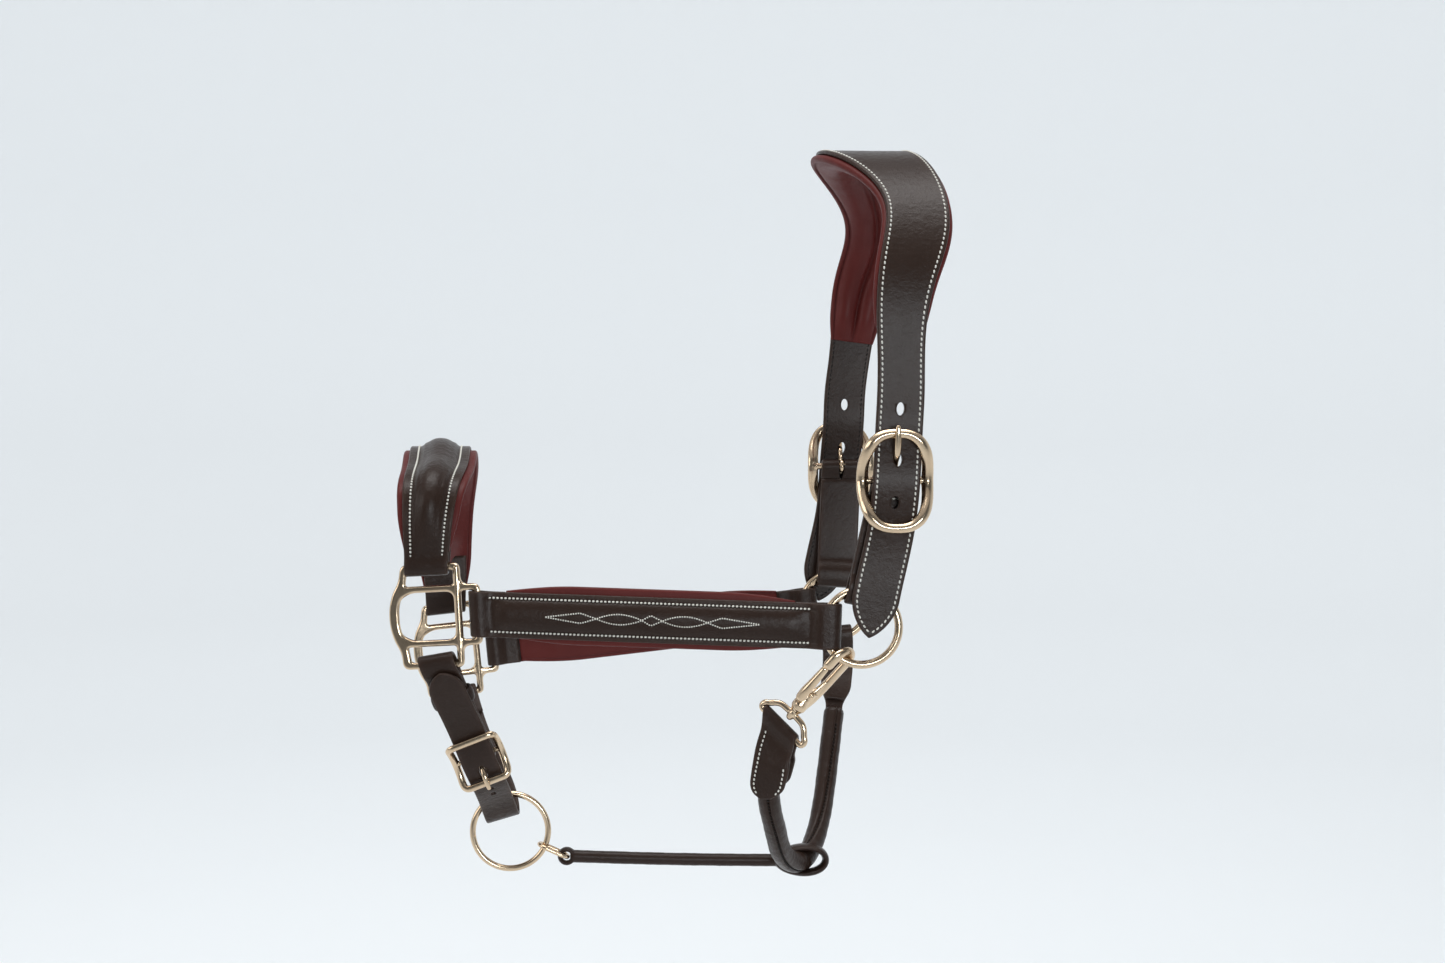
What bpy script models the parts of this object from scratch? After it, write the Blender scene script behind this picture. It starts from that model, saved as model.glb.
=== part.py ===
"""Leather headcollar: padded crown, cheekpieces, noseband, chin strap, throatlash and brass fittings.

Frame: +Z up, -X towards the horse's nose, -Y the near (left) side of the head.
The origin is under the middle of the crown pad, where it rests on the poll.
Sizes below are in millimetres and become metres as each mesh is made.
"""
import math

import bmesh
import bpy
import numpy as np
from mathutils import Matrix, Vector

MM = 0.001
GAP = 0.35                 # clearance between neighbouring pieces
NEAR, OFF = -1, 1          # sides of the head along Y
SIDES = (("near", NEAR), ("off", OFF))

# Leather
CROWN_THICK = 2.6
CROWN_WIDTH = 25.2
POLL_WIDTH = 50.0
FOLD_THICK = 2.0           # one layer of a folded strap
CHEEK_WIDTH = 24.4
CHIN_WIDTH = 19.0
CHIN_THICK = 1.8
LINING_THICK = 1.0
ROLL_RADIUS = 6.0
CONNECTOR_RADIUS = 3.5

# Crown: half an ellipse over the head, then two straight legs
HEAD_HALF = 92.0
ARCH_FOOT = -79.0
ARCH_RISE = 89.6
LINING_END = -92.0
TIP_LENGTH = 16.0

# Brass
RING_RADIUS = 19.8
RING_WIRE = 2.2
BUCKLE_HALF = (18.9, 25.3)
BUCKLE_WIRE = 2.2
BUCKLE_BAR = 1.9
BUCKLE_BOW = 8.0
FITTING_THICK = 3.6
RING_ROUND = 2.9           # what a strap has to clear as it turns round a ring's bowed wire
BAR_ROUND = 2.75           # what a strap has to clear as it turns round a square bar
CHIN_BUCKLE_HALF = (13.0, 13.6)
CHIN_BUCKLE_WIRE = 1.4
CHIN_BUCKLE_BOW = 6.6
CHIN_RING_RADIUS = 21.2
CHIN_RING_WIRE = 1.7
LINK_WIRE = 1.2

# Places of the brass on each side
RING = {NEAR: (-10.0, -82.0, -249.0), OFF: (-2.8, 82.0, -253.1)}
BUCKLE = {NEAR: (6.5, -88.0, -171.0), OFF: (1.6, 88.0, -168.3)}
FITTING = {NEAR: (-235.4, -63.0, -243.2), OFF: (-232.5, 64.0, -276.0)}
FITTING_TILT = {NEAR: 3.0, OFF: 5.5}
FITTING_YAW = 6.0
NOSE_TOP = (-236.0, 0.0, -156.5)
CHIN_RING = (-198.0, 0.0, -371.9)
CHIN_BUCKLE = (-214.0, -41.0, -322.0)
CHIN_BEND = (-202.0, 0.0, -364.0)
CONNECTOR_EYE = (-32.0, 0.0, -391.0)

for old in list(bpy.data.objects):
    bpy.data.objects.remove(old)

PARTS = bpy.data.collections.new("headcollar")
CUTTERS = bpy.data.collections.new("cutters")
bpy.context.scene.collection.children.link(PARTS)
bpy.context.scene.collection.children.link(CUTTERS)

FINISHES = {
    "leather": ((0.035, 0.024, 0.02), 0.45, 0.0),
    "lining": ((0.13, 0.022, 0.02), 0.5, 0.0),
    "foam": ((0.75, 0.7, 0.6), 0.9, 0.0),
    "cord": ((0.55, 0.45, 0.3), 0.9, 0.0),
    "brass": ((0.68, 0.5, 0.32), 0.25, 1.0),
    "steel": ((0.6, 0.6, 0.6), 0.35, 1.0),
}


def finish(obj, name, look):
    """Name the piece, give it its own material and put it with the parts."""
    colour, roughness, metallic = FINISHES[look]
    material = bpy.data.materials.new(name)
    material.use_nodes = True
    shader = material.node_tree.nodes["Principled BSDF"]
    shader.inputs["Base Color"].default_value = (*colour, 1.0)
    shader.inputs["Roughness"].default_value = roughness
    shader.inputs["Metallic"].default_value = metallic
    obj.name = name
    obj.data.name = name
    obj.data.materials.clear()
    obj.data.materials.append(material)
    for holder in list(obj.users_collection):
        holder.objects.unlink(obj)
    PARTS.objects.link(obj)
    return obj


def unit(vector):
    return np.array(vector, float) / np.linalg.norm(vector)


def spline(rows, count):
    """Evenly spaced rows on the natural cubic spline through the given rows."""
    rows = np.array(rows, float)
    steps = np.linalg.norm(np.diff(rows[:, :3], axis=0), axis=1)
    knots = np.concatenate([[0.0], np.cumsum(steps)])
    last = len(rows) - 1
    system = np.eye(last + 1)
    slope = np.diff(rows, axis=0) / steps[:, None]
    right = np.zeros_like(rows)
    for i in range(1, last):
        system[i, i - 1:i + 2] = steps[i - 1], 2 * (steps[i - 1] + steps[i]), steps[i]
        right[i] = 6 * (slope[i] - slope[i - 1])
    bend = np.linalg.solve(system, right)
    fine = np.linspace(0, knots[-1], 600)
    k = np.clip(np.searchsorted(knots, fine, side="right") - 1, 0, last - 1)
    h, a, b = steps[k][:, None], (knots[k + 1] - fine)[:, None], (fine - knots[k])[:, None]
    curve = (bend[k] * a ** 3 + bend[k + 1] * b ** 3) / (6 * h)
    curve += (rows[k] / h - bend[k] * h / 6) * a + (rows[k + 1] / h - bend[k + 1] * h / 6) * b
    run = np.concatenate([[0], np.cumsum(np.linalg.norm(np.diff(curve[:, :3], axis=0), axis=1))])
    even = np.linspace(0, run[-1], count)
    return np.stack([np.interp(even, run, column) for column in curve.T], axis=1)


class Line:
    """The run of a strap: its middle, half width and the way its width points, by length along it."""

    def __init__(self, rows, across, outward, slanted=False):
        self.slanted = slanted
        self.rows = spline(rows, 240)
        step = np.linalg.norm(np.diff(self.rows[:, :3], axis=0), axis=1)
        self.run = np.concatenate([[0], np.cumsum(step)])
        self.length = self.run[-1]
        hints = np.array(across, float).reshape(-1, 3)
        place = np.linspace(0, self.length, len(hints))
        self.hints = np.stack([np.interp(self.run, place, h) for h in hints.T], axis=1)
        self.outward = np.array(outward, float)

    def at(self, u):
        inside = min(max(u, 0.0), self.length)
        point = np.array([np.interp(inside, self.run, c) for c in self.rows.T])
        hint = np.array([np.interp(inside, self.run, c) for c in self.hints.T])
        ends = [np.array([np.interp(min(max(inside + d, 0), self.length), self.run, c)
                          for c in self.rows[:, :3].T]) for d in (-0.6, 0.6)]
        along = unit(ends[1] - ends[0])
        square = unit(hint - along * hint.dot(along))
        across = unit(hint) if self.slanted else square
        normal = np.cross(along, square)
        toward = self.outward if self.outward.ndim == 1 else point[:3] - self.outward[0]
        if normal.dot(toward) < 0:
            normal = -normal
        return point[:3] + along * (u - inside), along, across, normal, point[3]

    def place(self, u, v, n):
        """The point at length u, v half widths across and n millimetres out."""
        middle, _, across, normal, half = self.at(u)
        return middle + across * half * v + normal * n


def sheet(name, line, path, look, thick, columns=3, lift=None, widen=None):
    """A strip that follows path, a list of (length along, distance out), with a thickness."""
    mesh = bpy.data.meshes.new(name)
    grid = bmesh.new()
    bmesh.ops.create_grid(grid, x_segments=len(path) - 1, y_segments=columns - 1, size=1.0)
    for vert in grid.verts:
        station = round((vert.co.x + 1) / 2 * (len(path) - 1))
        v = vert.co.y
        u, n = path[station]
        share = station / (len(path) - 1)
        half = widen(u, share) if widen else 1.0
        vert.co = Vector(line.place(u, v * half, n + (lift(v, u) if lift else 0.0))) * MM
    grid.to_mesh(mesh)
    grid.free()
    obj = bpy.data.objects.new(name, mesh)
    PARTS.objects.link(obj)
    skin = obj.modifiers.new("thickness", "SOLIDIFY")
    skin.thickness = thick * MM
    skin.offset = 0.0
    return finish(obj, name, look)


def bend(centre, radius, start, stop, count=7):
    """Points round a bar that lies across the strap, from one angle to another in degrees."""
    angles = np.radians(np.linspace(start, stop, count))
    return [(centre + radius * math.cos(a), radius * math.sin(a)) for a in angles]


def folded(first, last, thick, tails, slack=(0.0, 0.0), layer=None, inner=None, steps=5):
    """A strap turned back round a bar at each end; bars are (length along, radius)."""
    layer = (thick + 0.4) / 2 if layer is None else layer
    inner = -layer if inner is None else inner
    (ua, ra), (ub, rb) = first, last
    wide_a, wide_b = ra + GAP + thick / 2, rb + GAP + thick / 2
    ease = 5.0
    path = [(ub - slack[1] - tails[1], inner), (ub - slack[1] - ease, inner), (ub - slack[1], -wide_b)]
    path += bend(ub, wide_b, -75, 75)
    path += [(ub - slack[1], wide_b)]
    path += [(u, layer) for u in np.linspace(ub - slack[1] - ease, ua + slack[0] + ease, steps)]
    path += [(ua + slack[0], wide_a)]
    path += bend(ua, wide_a, 105, 255)
    path += [(ua + slack[0], -wide_a), (ua + slack[0] + ease, inner), (ua + slack[0] + tails[0], inner)]
    return [p for i, p in enumerate(path) if i == 0 or math.dist(p, path[i - 1]) > 0.05]


def padding(name, line, start, stop, out, depth, spread, look="lining", humps=1, columns=9, steps=24):
    """The soft lining: a trough of leather, open to the strap, fading at both ends."""
    def fade(u):
        edge = min(u - start, stop - u) / 14.0
        return min(1.0, 0.45 + 0.55 * math.sin(min(max(edge, 0), 1) * math.pi / 2))

    def lift(v, u):
        round_off = 1 - abs(v) ** 4 if humps == 1 else abs(math.sin(math.pi * v)) ** 0.7
        return -depth * fade(u) * round_off

    def widen(u, share):
        return 1.0 + (spread - 1.0) * fade(u)

    path = [(u, out) for u in np.linspace(start, stop, steps)]
    return sheet(name, line, path, look, LINING_THICK, columns, lift, widen)


def strip(name, line, start, stop, out, thick, share, look, shift=0.0, steps=16):
    """A plain flat strip of filling that lies under a strap."""
    mesh_path = [(u, out) for u in np.linspace(start, stop, steps)]
    obj = sheet(name, line, mesh_path, look, thick, 2)
    for i, vert in enumerate(obj.data.vertices):
        u = start + (stop - start) * (i % steps) / (steps - 1)
        side = -1 if i < steps else 1
        vert.co = Vector(line.place(u, shift + side * share, out)) * MM
    return obj


def tube(name, points, radius, look, cyclic=False, resolution=2):
    """Round wire, bar or roll along points in millimetres."""
    data = bpy.data.curves.new(name, "CURVE")
    data.dimensions = "3D"
    data.bevel_depth = radius * MM
    data.bevel_resolution = resolution
    data.use_fill_caps = not cyclic
    run = data.splines.new("POLY")
    run.points.add(len(points) - 1)
    for point, at in zip(run.points, points):
        point.co = (*(Vector(at) * MM), 1.0)
    run.use_cyclic_u = cyclic
    obj = bpy.data.objects.new(name, data)
    PARTS.objects.link(obj)
    return finish(obj, name, look)


def pivot(obj, point):
    """Move the piece's origin to a point on its joint's axis, leaving the piece where it is."""
    place = Vector(point) * MM
    obj.data.transform(Matrix.Translation(-place))
    obj.location = place


def as_mesh(obj):
    """The same piece as a mesh, welded, so that it can be cut and joined."""
    bpy.context.view_layer.update()
    evaluated = obj.evaluated_get(bpy.context.evaluated_depsgraph_get())
    mesh = bpy.data.meshes.new_from_object(evaluated)
    weld = bmesh.new()
    weld.from_mesh(mesh)
    bmesh.ops.remove_doubles(weld, verts=weld.verts, dist=0.00001)
    bmesh.ops.recalc_face_normals(weld, faces=weld.faces)
    weld.to_mesh(mesh)
    weld.free()
    solid = bpy.data.objects.new(obj.name + "_solid", mesh)
    solid.matrix_world = obj.matrix_world.copy()
    PARTS.objects.link(solid)
    bpy.data.objects.remove(obj)
    return solid


def joined(name, look, pieces):
    """Several overlapping pieces cast or sewn as one."""
    body = as_mesh(pieces[0])
    for piece in pieces[1:]:
        other = as_mesh(piece)
        cut(body, other, "UNION")
    return finish(body, name, look)


def cut(obj, cutter, operation="DIFFERENCE"):
    for holder in list(cutter.users_collection):
        holder.objects.unlink(cutter)
    CUTTERS.objects.link(cutter)
    cutter.hide_render = True
    cutter.display_type = "WIRE"
    boolean = obj.modifiers.new(cutter.name, "BOOLEAN")
    boolean.operation = operation
    boolean.object = cutter


def torus(name, centre, normal, radius, wire, look="brass", segments=48, sides=8):
    bpy.ops.mesh.primitive_torus_add(
        major_radius=radius * MM, minor_radius=wire * MM, major_segments=segments, minor_segments=sides)
    obj = bpy.context.object
    obj.location = Vector(centre) * MM
    obj.rotation_mode = "QUATERNION"
    obj.rotation_quaternion = Vector(normal).to_track_quat("Z", "Y")
    return finish(obj, name, look)


def rounded(points, radius, steps=4):
    """The outline through points with its corners rounded by arcs."""
    outline = []
    for i, corner in enumerate(points):
        corner = np.array(corner, float)
        before = np.array(points[i - 1], float) - corner
        after = np.array(points[(i + 1) % len(points)], float) - corner
        reach = min(radius, np.linalg.norm(before) * 0.45, np.linalg.norm(after) * 0.45)
        a, b = corner + unit(before) * reach, corner + unit(after) * reach
        for t in np.linspace(0, 1, steps):
            outline.append((1 - t) ** 2 * a + 2 * t * (1 - t) * corner + t ** 2 * b)
    return outline


def plate(name, outlines, thick, matrix, look="brass"):
    """A flat casting: the first outline is its edge and the rest are its openings."""
    data = bpy.data.curves.new(name, "CURVE")
    data.dimensions = "2D"
    data.fill_mode = "BOTH"
    data.extrude = thick / 2 * MM
    for outline in outlines:
        edge = data.splines.new("POLY")
        edge.points.add(len(outline) - 1)
        for point, at in zip(edge.points, outline):
            point.co = (at[0] * MM, at[1] * MM, 0.0, 1.0)
        edge.use_cyclic_u = True
    obj = bpy.data.objects.new(name, data)
    obj.matrix_world = matrix
    PARTS.objects.link(obj)
    return finish(obj, name, look)


# ---------------------------------------------------------------- crown

def crown_line():
    """From the near tip up the near leg, over the poll and down the off leg."""
    arch = ((0, 10.0, 13.9), (14, 14.0, 15.7), (28, 19.5, 16.8), (40, 20.0, 16.9),
            (56, 14.5, 19.0), (72, 6.0, 22.6))
    rows = []
    for side in (NEAR, OFF):
        bx, _, bz = BUCKLE[side]
        lean = bx - BUCKLE[NEAR][0]
        leg = [(bx - 13.5, 89.5, bz - 81.5), (bx - 8.5, 89.6, bz - 55), (bx - 2.5, 90.6, bz - 27),
               (bx, 94.2, bz), (bx + 1.8, 90.9, bz + 27), (bx + 2.6, 91.2, bz + 44), (9.2 + lean / 2, 91.8, -104)]
        half = [CROWN_WIDTH / 2] * 7
        run = [(x, side * y, z, h) for (x, y, z), h in zip(leg, half)]
        for degrees, x, width in arch:
            t = math.radians(degrees)
            run.append((x, side * HEAD_HALF * math.cos(t), ARCH_FOOT + ARCH_RISE * math.sin(t), width))
        rows.append(run)
    poll = (0.5, 0.0, ARCH_FOOT + ARCH_RISE, POLL_WIDTH / 2)
    return Line(rows[0] + [poll] + rows[1][::-1], (1, 0, 0), [(0, 0, -150)])


CROWN = crown_line()


def crown_at_height(z, side):
    """Length along the crown where its middle passes height z on one side."""
    fine = np.linspace(0, CROWN.length, 900)
    heights = np.array([CROWN.at(u)[0][2] for u in fine])
    half = fine < CROWN.length / 2 if side == NEAR else fine > CROWN.length / 2
    return fine[half][np.argmin(abs(heights[half] - z))]


def crown_tip(u, share):
    """The pointed ends of the two billets."""
    x = min(min(u, CROWN.length - u) / TIP_LENGTH, 1.0)
    return max(0.06, (1 - (1 - x) ** 1.7) ** 0.75)


def crown_strap():
    ends = [0, 1.5, 4, 7.5, 11.5, 16]
    middle = list(np.linspace(24, CROWN.length - 24, 62))
    stations = ends + middle + [CROWN.length - e for e in reversed(ends)]
    strap = sheet("crown_strap", CROWN, [(u, 0.0) for u in stations], "leather", CROWN_THICK, 3,
                  widen=crown_tip)
    for _, side in SIDES:
        bx, _, bz = BUCKLE[side]
        for up, length in ((37.4, 7.0), (10.8, 13.6), (-11.0, 7.0)):
            at = CROWN.at(crown_at_height(bz + up, side))
            bpy.ops.mesh.primitive_cylinder_add(vertices=16, radius=1.0, depth=1.0)
            hole = bpy.context.object
            hole.name = "hole_cutter"
            turn = Matrix.Rotation(math.radians(90), 4, "X")
            size = Matrix.Diagonal((4.6 / 2 * MM, length / 2 * MM, 14 * MM, 1))
            hole.data.transform(turn @ size)
            hole.location = Vector(at[0]) * MM
            cut(strap, hole)
    return strap


def crown_pad():
    start, stop = crown_at_height(LINING_END, NEAR), crown_at_height(LINING_END, OFF)
    out = -CROWN_THICK / 2 - GAP - LINING_THICK / 2
    padding("crown_lining", CROWN, start, stop, out, 6.6, 1.12, humps=2, columns=13, steps=44)
    inside = out - LINING_THICK / 2 - 1.9
    for name, shift in (("crown_foam_front", -0.56), ("crown_foam_rear", 0.56)):
        strip(name, CROWN, start + 12, stop - 12, inside, 2.2, 0.2, "foam", shift, 36)


def crown_buckle(word, side):
    """Oval centre-bar buckle, bowed so that its ends stand clear of the strap."""
    x, y, z = BUCKLE[side]
    points = []
    for t in np.linspace(0, 2 * math.pi, 40, endpoint=False):
        c, s = math.cos(t), math.sin(t)
        dx = BUCKLE_HALF[0] * math.copysign(abs(c) ** 0.62, c)
        dz = BUCKLE_HALF[1] * math.copysign(abs(s) ** 0.62, s)
        rise = (1 - math.cos(math.pi * min(abs(dz) / 18.0, 1.0))) / 2
        points.append((x + dx, y + side * BUCKLE_BOW * rise, z + dz))
    frame = tube("frame", points, BUCKLE_WIRE, "brass", cyclic=True)
    bar = tube("bar", [(x - BUCKLE_HALF[0], y, z), (x + BUCKLE_HALF[0], y, z)], BUCKLE_BAR, "brass")
    joined(word + "_crown_buckle", "brass", [frame, bar])
    tongue_radius = 1.15
    wrap = BUCKLE_BAR + GAP + tongue_radius
    loop = [(x, y + side * (wrap * math.cos(a) - 0.12), z + wrap * math.sin(a))
            for a in np.radians(np.linspace(-250, 20, 13))]
    shank = [(x, y + side * out, z + up) for out, up in
             ((3.1, 3.4), (3.0, 6.6), (4.0, 9.4), (7.4, 12.6), (10.2, 16.6), (11.5, 21.0), (11.9, 25.3), (11.8, 28.0))]
    tongue = tube(word + "_crown_tongue", loop + shank, tongue_radius, "brass")
    pivot(tongue, BUCKLE[side])


def ring_hold(side, towards, half):
    """Where a strap of some half width grips the side ring, and how far the ring bows past its edges."""
    centre, axis = np.array(RING[side]), ring_axis()
    radial = np.array(towards, float) - centre
    radial = unit(radial - axis * radial.dot(axis))
    hold = math.sqrt(RING_RADIUS ** 2 - half ** 2)
    return centre + radial * hold, RING_RADIUS - hold + RING_WIRE


def ring_axis():
    return unit(np.array(RING[OFF]) - np.array(RING[NEAR]))


def cheek_strap(word, side):
    """Strap turned round the buckle's centre bar above and the side ring below."""
    bar, half = np.array(BUCKLE[side]), CHEEK_WIDTH / 2 - 0.2
    foot, bow = ring_hold(side, bar, half)
    down, length = unit(foot - bar), np.linalg.norm(foot - bar)
    rows = [(*(bar + down * s), half) for s in (0, length / 2, length)]
    square = unit(np.array((1.0, 0, 0)) - down * down[0])
    line = Line(rows, [(1, 0, 0), square, square], (0, side, 0), slanted=True)
    path = folded((0, BUCKLE_BAR + 0.1), (length, RING_ROUND), FOLD_THICK, (22, 14), slack=(0.8, bow))
    strap = sheet(word + "_cheek_strap", line, path, "leather", FOLD_THICK, 3)
    bpy.ops.mesh.primitive_cube_add(size=1.0)
    slot = bpy.context.object
    slot.name = "slot_cutter"
    slot.data.transform(Matrix.Diagonal((3.4 * MM, 18 * MM, 14 * MM, 1)))
    slot.location = Vector(bar + (0, 0, 1.0)) * MM
    cut(strap, slot)


# ---------------------------------------------------------------- brass of the nose frame

def fitting_matrix(side):
    """Fitting axes: x to the rear, y up, z out from the head."""
    tilt, yaw = math.radians(FITTING_TILT[side]), math.radians(FITTING_YAW)
    rear = unit((math.cos(tilt) * math.cos(yaw), side * math.sin(yaw), math.sin(tilt) * math.cos(yaw)))
    up = unit(np.array((0, 0, 1.0)) - rear * rear[2])
    out = np.cross(rear, up)
    matrix = Matrix([[rear[i], up[i], out[i], FITTING[side][i] * MM] for i in range(3)] + [[0, 0, 0, 1]])
    return matrix


def fitting_axis(side, column):
    """The fitting's rearward (0), upward (1) or outward (2) direction."""
    return np.array([fitting_matrix(side)[row][column] for row in range(3)])


def on_fitting(side, a, b):
    return np.array(fitting_matrix(side) @ Vector((a * MM, b * MM, 0))) / MM


def fitting(word, side):
    """Square cast fitting: slots for the noseband, cheekpiece and chin strap round a D opening."""
    edge = rounded([(-19.4, 28.0), (14.4, 28.0), (14.4, 16.2), (25.0, 16.2), (25.0, -16.2), (14.4, -16.2),
                    (14.4, -28.0), (-19.4, -28.0), (-20.0, -17.0), (-24.4, -7.0), (-24.4, 7.0),
                    (-20.0, 17.0)], 3.5)
    top = rounded([(-16.0, 24.4), (10.8, 24.4), (10.8, 16.2), (-16.4, 16.2)], 1.5, 3)
    window = rounded([(10.8, 12.8), (10.8, -12.8), (-13.0, -12.8), (-20.6, -5.5), (-20.6, 5.5),
                      (-13.0, 12.8)], 5.5, 5)
    rear = rounded([(14.4, 12.8), (21.4, 12.8), (21.4, -12.8), (14.4, -12.8)], 1.5, 3)
    bottom = [(x, -y) for x, y in top]
    plate(word + "_fitting", [edge, top, window, rear, bottom], FITTING_THICK, fitting_matrix(side))


# ---------------------------------------------------------------- cheekpieces

def raised(v, height):
    """Height of the raised middle across a strap."""
    edge = np.clip((0.72 - abs(v)) / 0.42, 0, 1)
    return height * edge * edge * (3 - 2 * edge)


def cheekpiece(word, side):
    """Raised, lined strap turned round the fitting's rear bar and round the side ring."""
    bar, half = on_fitting(side, 23.2, 0), CHEEK_WIDTH / 2
    hold, bow = ring_hold(side, bar, half)
    back, length = unit(hold - bar), np.linalg.norm(hold - bar)
    square = unit(np.array((0, 0, 1.0)) - back * back[2])
    line = Line([(*(bar + back * s), half) for s in (0, length / 2, length)],
                [fitting_axis(side, 1), square, square], (0, side, 0), slanted=True)
    slack = (1.6, bow)
    tails = (13.0, 13.0)
    path = folded((0, BAR_ROUND), (length, RING_ROUND), FOLD_THICK, tails, slack, steps=24)
    begin, end = slack[0] + tails[0] + 0.6, length - slack[1] - tails[1] - 0.6

    def lift(v, u):
        near_end = min(u - 9.0, length - 14.0 - u) / 10.0
        return raised(v, 2.4) * min(max(near_end, 0), 1)

    columns = 9
    outer = sheet(word + "_cheekpiece", line, path, "leather", FOLD_THICK, columns)
    for i, vert in enumerate(outer.data.vertices):
        station, column = i % len(path), i // len(path)
        u, n = path[station]
        if n > 0:
            v = -1 + 2 * column / (columns - 1)
            vert.co = Vector(line.place(u, v, n + lift(v, u))) * MM
    out = 0.2 - GAP - LINING_THICK / 2
    padding(word + "_cheek_lining", line, begin, end, out, 4.2, 1.3)
    strip(word + "_cheek_foam", line, begin + 8, end - 8, out - 1.9, 1.9, 0.6, "foam")
    strip(word + "_cheek_filler", line, begin + 8, end - 12, 1.15, 1.2, 0.3, "leather")


# ---------------------------------------------------------------- noseband

def nose_line():
    """From the near fitting's top bar over the nose to the off fitting's top bar."""
    near, off = on_fitting(NEAR, -2.8, 26.2), on_fitting(OFF, -2.8, 26.2)
    top = np.array(NOSE_TOP)
    rows = [(*near, 11.6), (near[0] + 0.6, near[1] - 3.0, near[2] + 20, 12.8),
            (near[0] + 2.0, near[1] + 1.5, near[2] + 40, 14.6),
            (top[0] + 0.5, top[1] - 34, top[2] - 8.5, 16.2), (*top, 16.6),
            (top[0] - 0.5, top[1] + 34, top[2] - 11.0, 16.2),
            (off[0] - 1.0, off[1] - 1.0, off[2] + 58, 14.6),
            (off[0] - 0.6, off[1] + 2.5, off[2] + 28, 12.8), (*off, 11.6)]
    across = [fitting_axis(NEAR, 0)] + [(1, 0, 0)] * 5 + [fitting_axis(OFF, 0)]
    return Line(rows, across, [(top[0], 0, top[2] - 80)], slanted=True)


def noseband():
    line = nose_line()
    length = line.length
    layer = 1.3
    path = folded((0, BAR_ROUND), (length, BAR_ROUND), FOLD_THICK, (28, 28), (1.6, 1.6),
                  layer=layer, inner=-5.2, steps=44)
    columns = 9
    band = sheet("noseband_strap", line, path, "leather", FOLD_THICK, columns)

    def lift(v, u):
        near_end = min(u - 7.0, length - 7.0 - u) / 26.0
        return raised(v, 4.6) * min(max(near_end, 0), 1)

    for i, vert in enumerate(band.data.vertices):
        station, column = i % len(path), i // len(path)
        u, n = path[station]
        v = -1 + 2 * column / (columns - 1)
        if n > 0:
            vert.co = Vector(line.place(u, v, n + lift(v, u))) * MM
        else:
            vert.co = Vector(line.place(u, v * 0.92, n)) * MM
    out = layer - FOLD_THICK / 2 - GAP - LINING_THICK / 2

    def fade(u):
        return np.clip((min(u, length - u) - 30.0) / 16.0, 0, 1)

    def depth(v, u):
        return -(1.9 + 3.4 * fade(u)) * (1 - abs(v) ** 4)

    def widen(u, share):
        return 1.06 + 0.18 * math.sin(math.pi * np.clip((min(u, length - u) - 8.0) / 60.0, 0, 0.5))

    stations = [(u, out) for u in np.linspace(8.0, length - 8.0, 40)]
    sheet("noseband_lining", line, stations, "lining", LINING_THICK, 9, depth, widen)
    strip("noseband_foam", line, 44, length - 44, out - 2.3, 2.2, 0.62, "foam", steps=24)
    strip("noseband_filler", line, 40, length - 40, 2.3, 3.2, 0.26, "leather", steps=24)


# ---------------------------------------------------------------- chin strap

CHIN_ACROSS = (0.93, -0.06, 0.36)


def chin_line():
    bar, buckle = on_fitting(NEAR, 0.6, -26.2), np.array(CHIN_BUCKLE)
    down = unit(buckle - bar)
    length = np.linalg.norm(buckle - bar)
    rows = [(*(bar + down * s), CHIN_WIDTH / 2) for s in (0, length / 2, length)]
    along_bar = unit(fitting_axis(NEAR, 0) + 0.6 * unit(CHIN_ACROSS))
    return Line(rows, [along_bar, CHIN_ACROSS, CHIN_ACROSS], (0, -1, -0.5), slanted=True), length


def chin_strap():
    """Short strap turned round the near fitting's bottom bar and the buckle's centre bar."""
    line, length = chin_line()
    path = folded((-1.8, BAR_ROUND), (length, 1.4), CHIN_THICK, (24, 26), (5.6, 0.8))
    strap = sheet("chin_strap", line, path, "leather", CHIN_THICK, 3)
    _, along, across, normal, _ = line.at(length)
    bpy.ops.mesh.primitive_cube_add(size=1.0)
    slot = bpy.context.object
    slot.name = "chin_slot_cutter"
    slot.data.transform(Matrix.Diagonal((3.0 * MM, 12 * MM, 12 * MM, 1)))
    slot.matrix_world = Matrix([[across[i], along[i], normal[i],
                                 (CHIN_BUCKLE[i] + along[i] * 0.6) * MM] for i in range(3)] + [[0, 0, 0, 1]])
    cut(strap, slot)


def chin_frame(u, v, n):
    """Millimetre point on the chin buckle: u down the strap, v across, n out."""
    line, length = chin_line()
    point, along, across, normal, _ = line.at(length)
    return point + along * u + across * v + normal * n


def chin_buckle():
    """Square centre-bar buckle and its tongue, which points down over the lower bar."""
    wide, high = CHIN_BUCKLE_HALF
    outline = rounded([(-wide, -high), (wide, -high), (wide, high), (-wide, high)], 3.0, 3)
    points = []
    for i, (v, u) in enumerate(outline):
        following = outline[(i + 1) % len(outline)]
        for t in (0.0, 0.5) if math.dist((v, u), following) > 6 else (0.0,):
            pv, pu = v + (following[0] - v) * t, u + (following[1] - u) * t
            points.append(chin_frame(pu, pv, CHIN_BUCKLE_BOW * (pu / high) ** 2))
    frame = tube("frame", points, CHIN_BUCKLE_WIRE, "brass", cyclic=True)
    bar = tube("bar", [chin_frame(0, -wide, 0), chin_frame(0, wide, 0)], 1.3, "brass")
    joined("chin_buckle", "brass", [frame, bar])
    wrap = 1.3 + GAP + 0.95
    loop = [chin_frame(-wrap * math.sin(a), 0, wrap * math.cos(a)) for a in np.radians(np.linspace(250, -30, 13))]
    shank = [chin_frame(u, 0, n) for u, n in ((4.0, 3.2), (6.4, 5.4), (9.0, 7.6), (11.5, 8.6), (13.6, 8.9),
                                              (16.4, 8.8))]
    tongue = tube("chin_tongue", loop + shank, 0.95, "brass")
    pivot(tongue, chin_frame(0, 0, 0))


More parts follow.
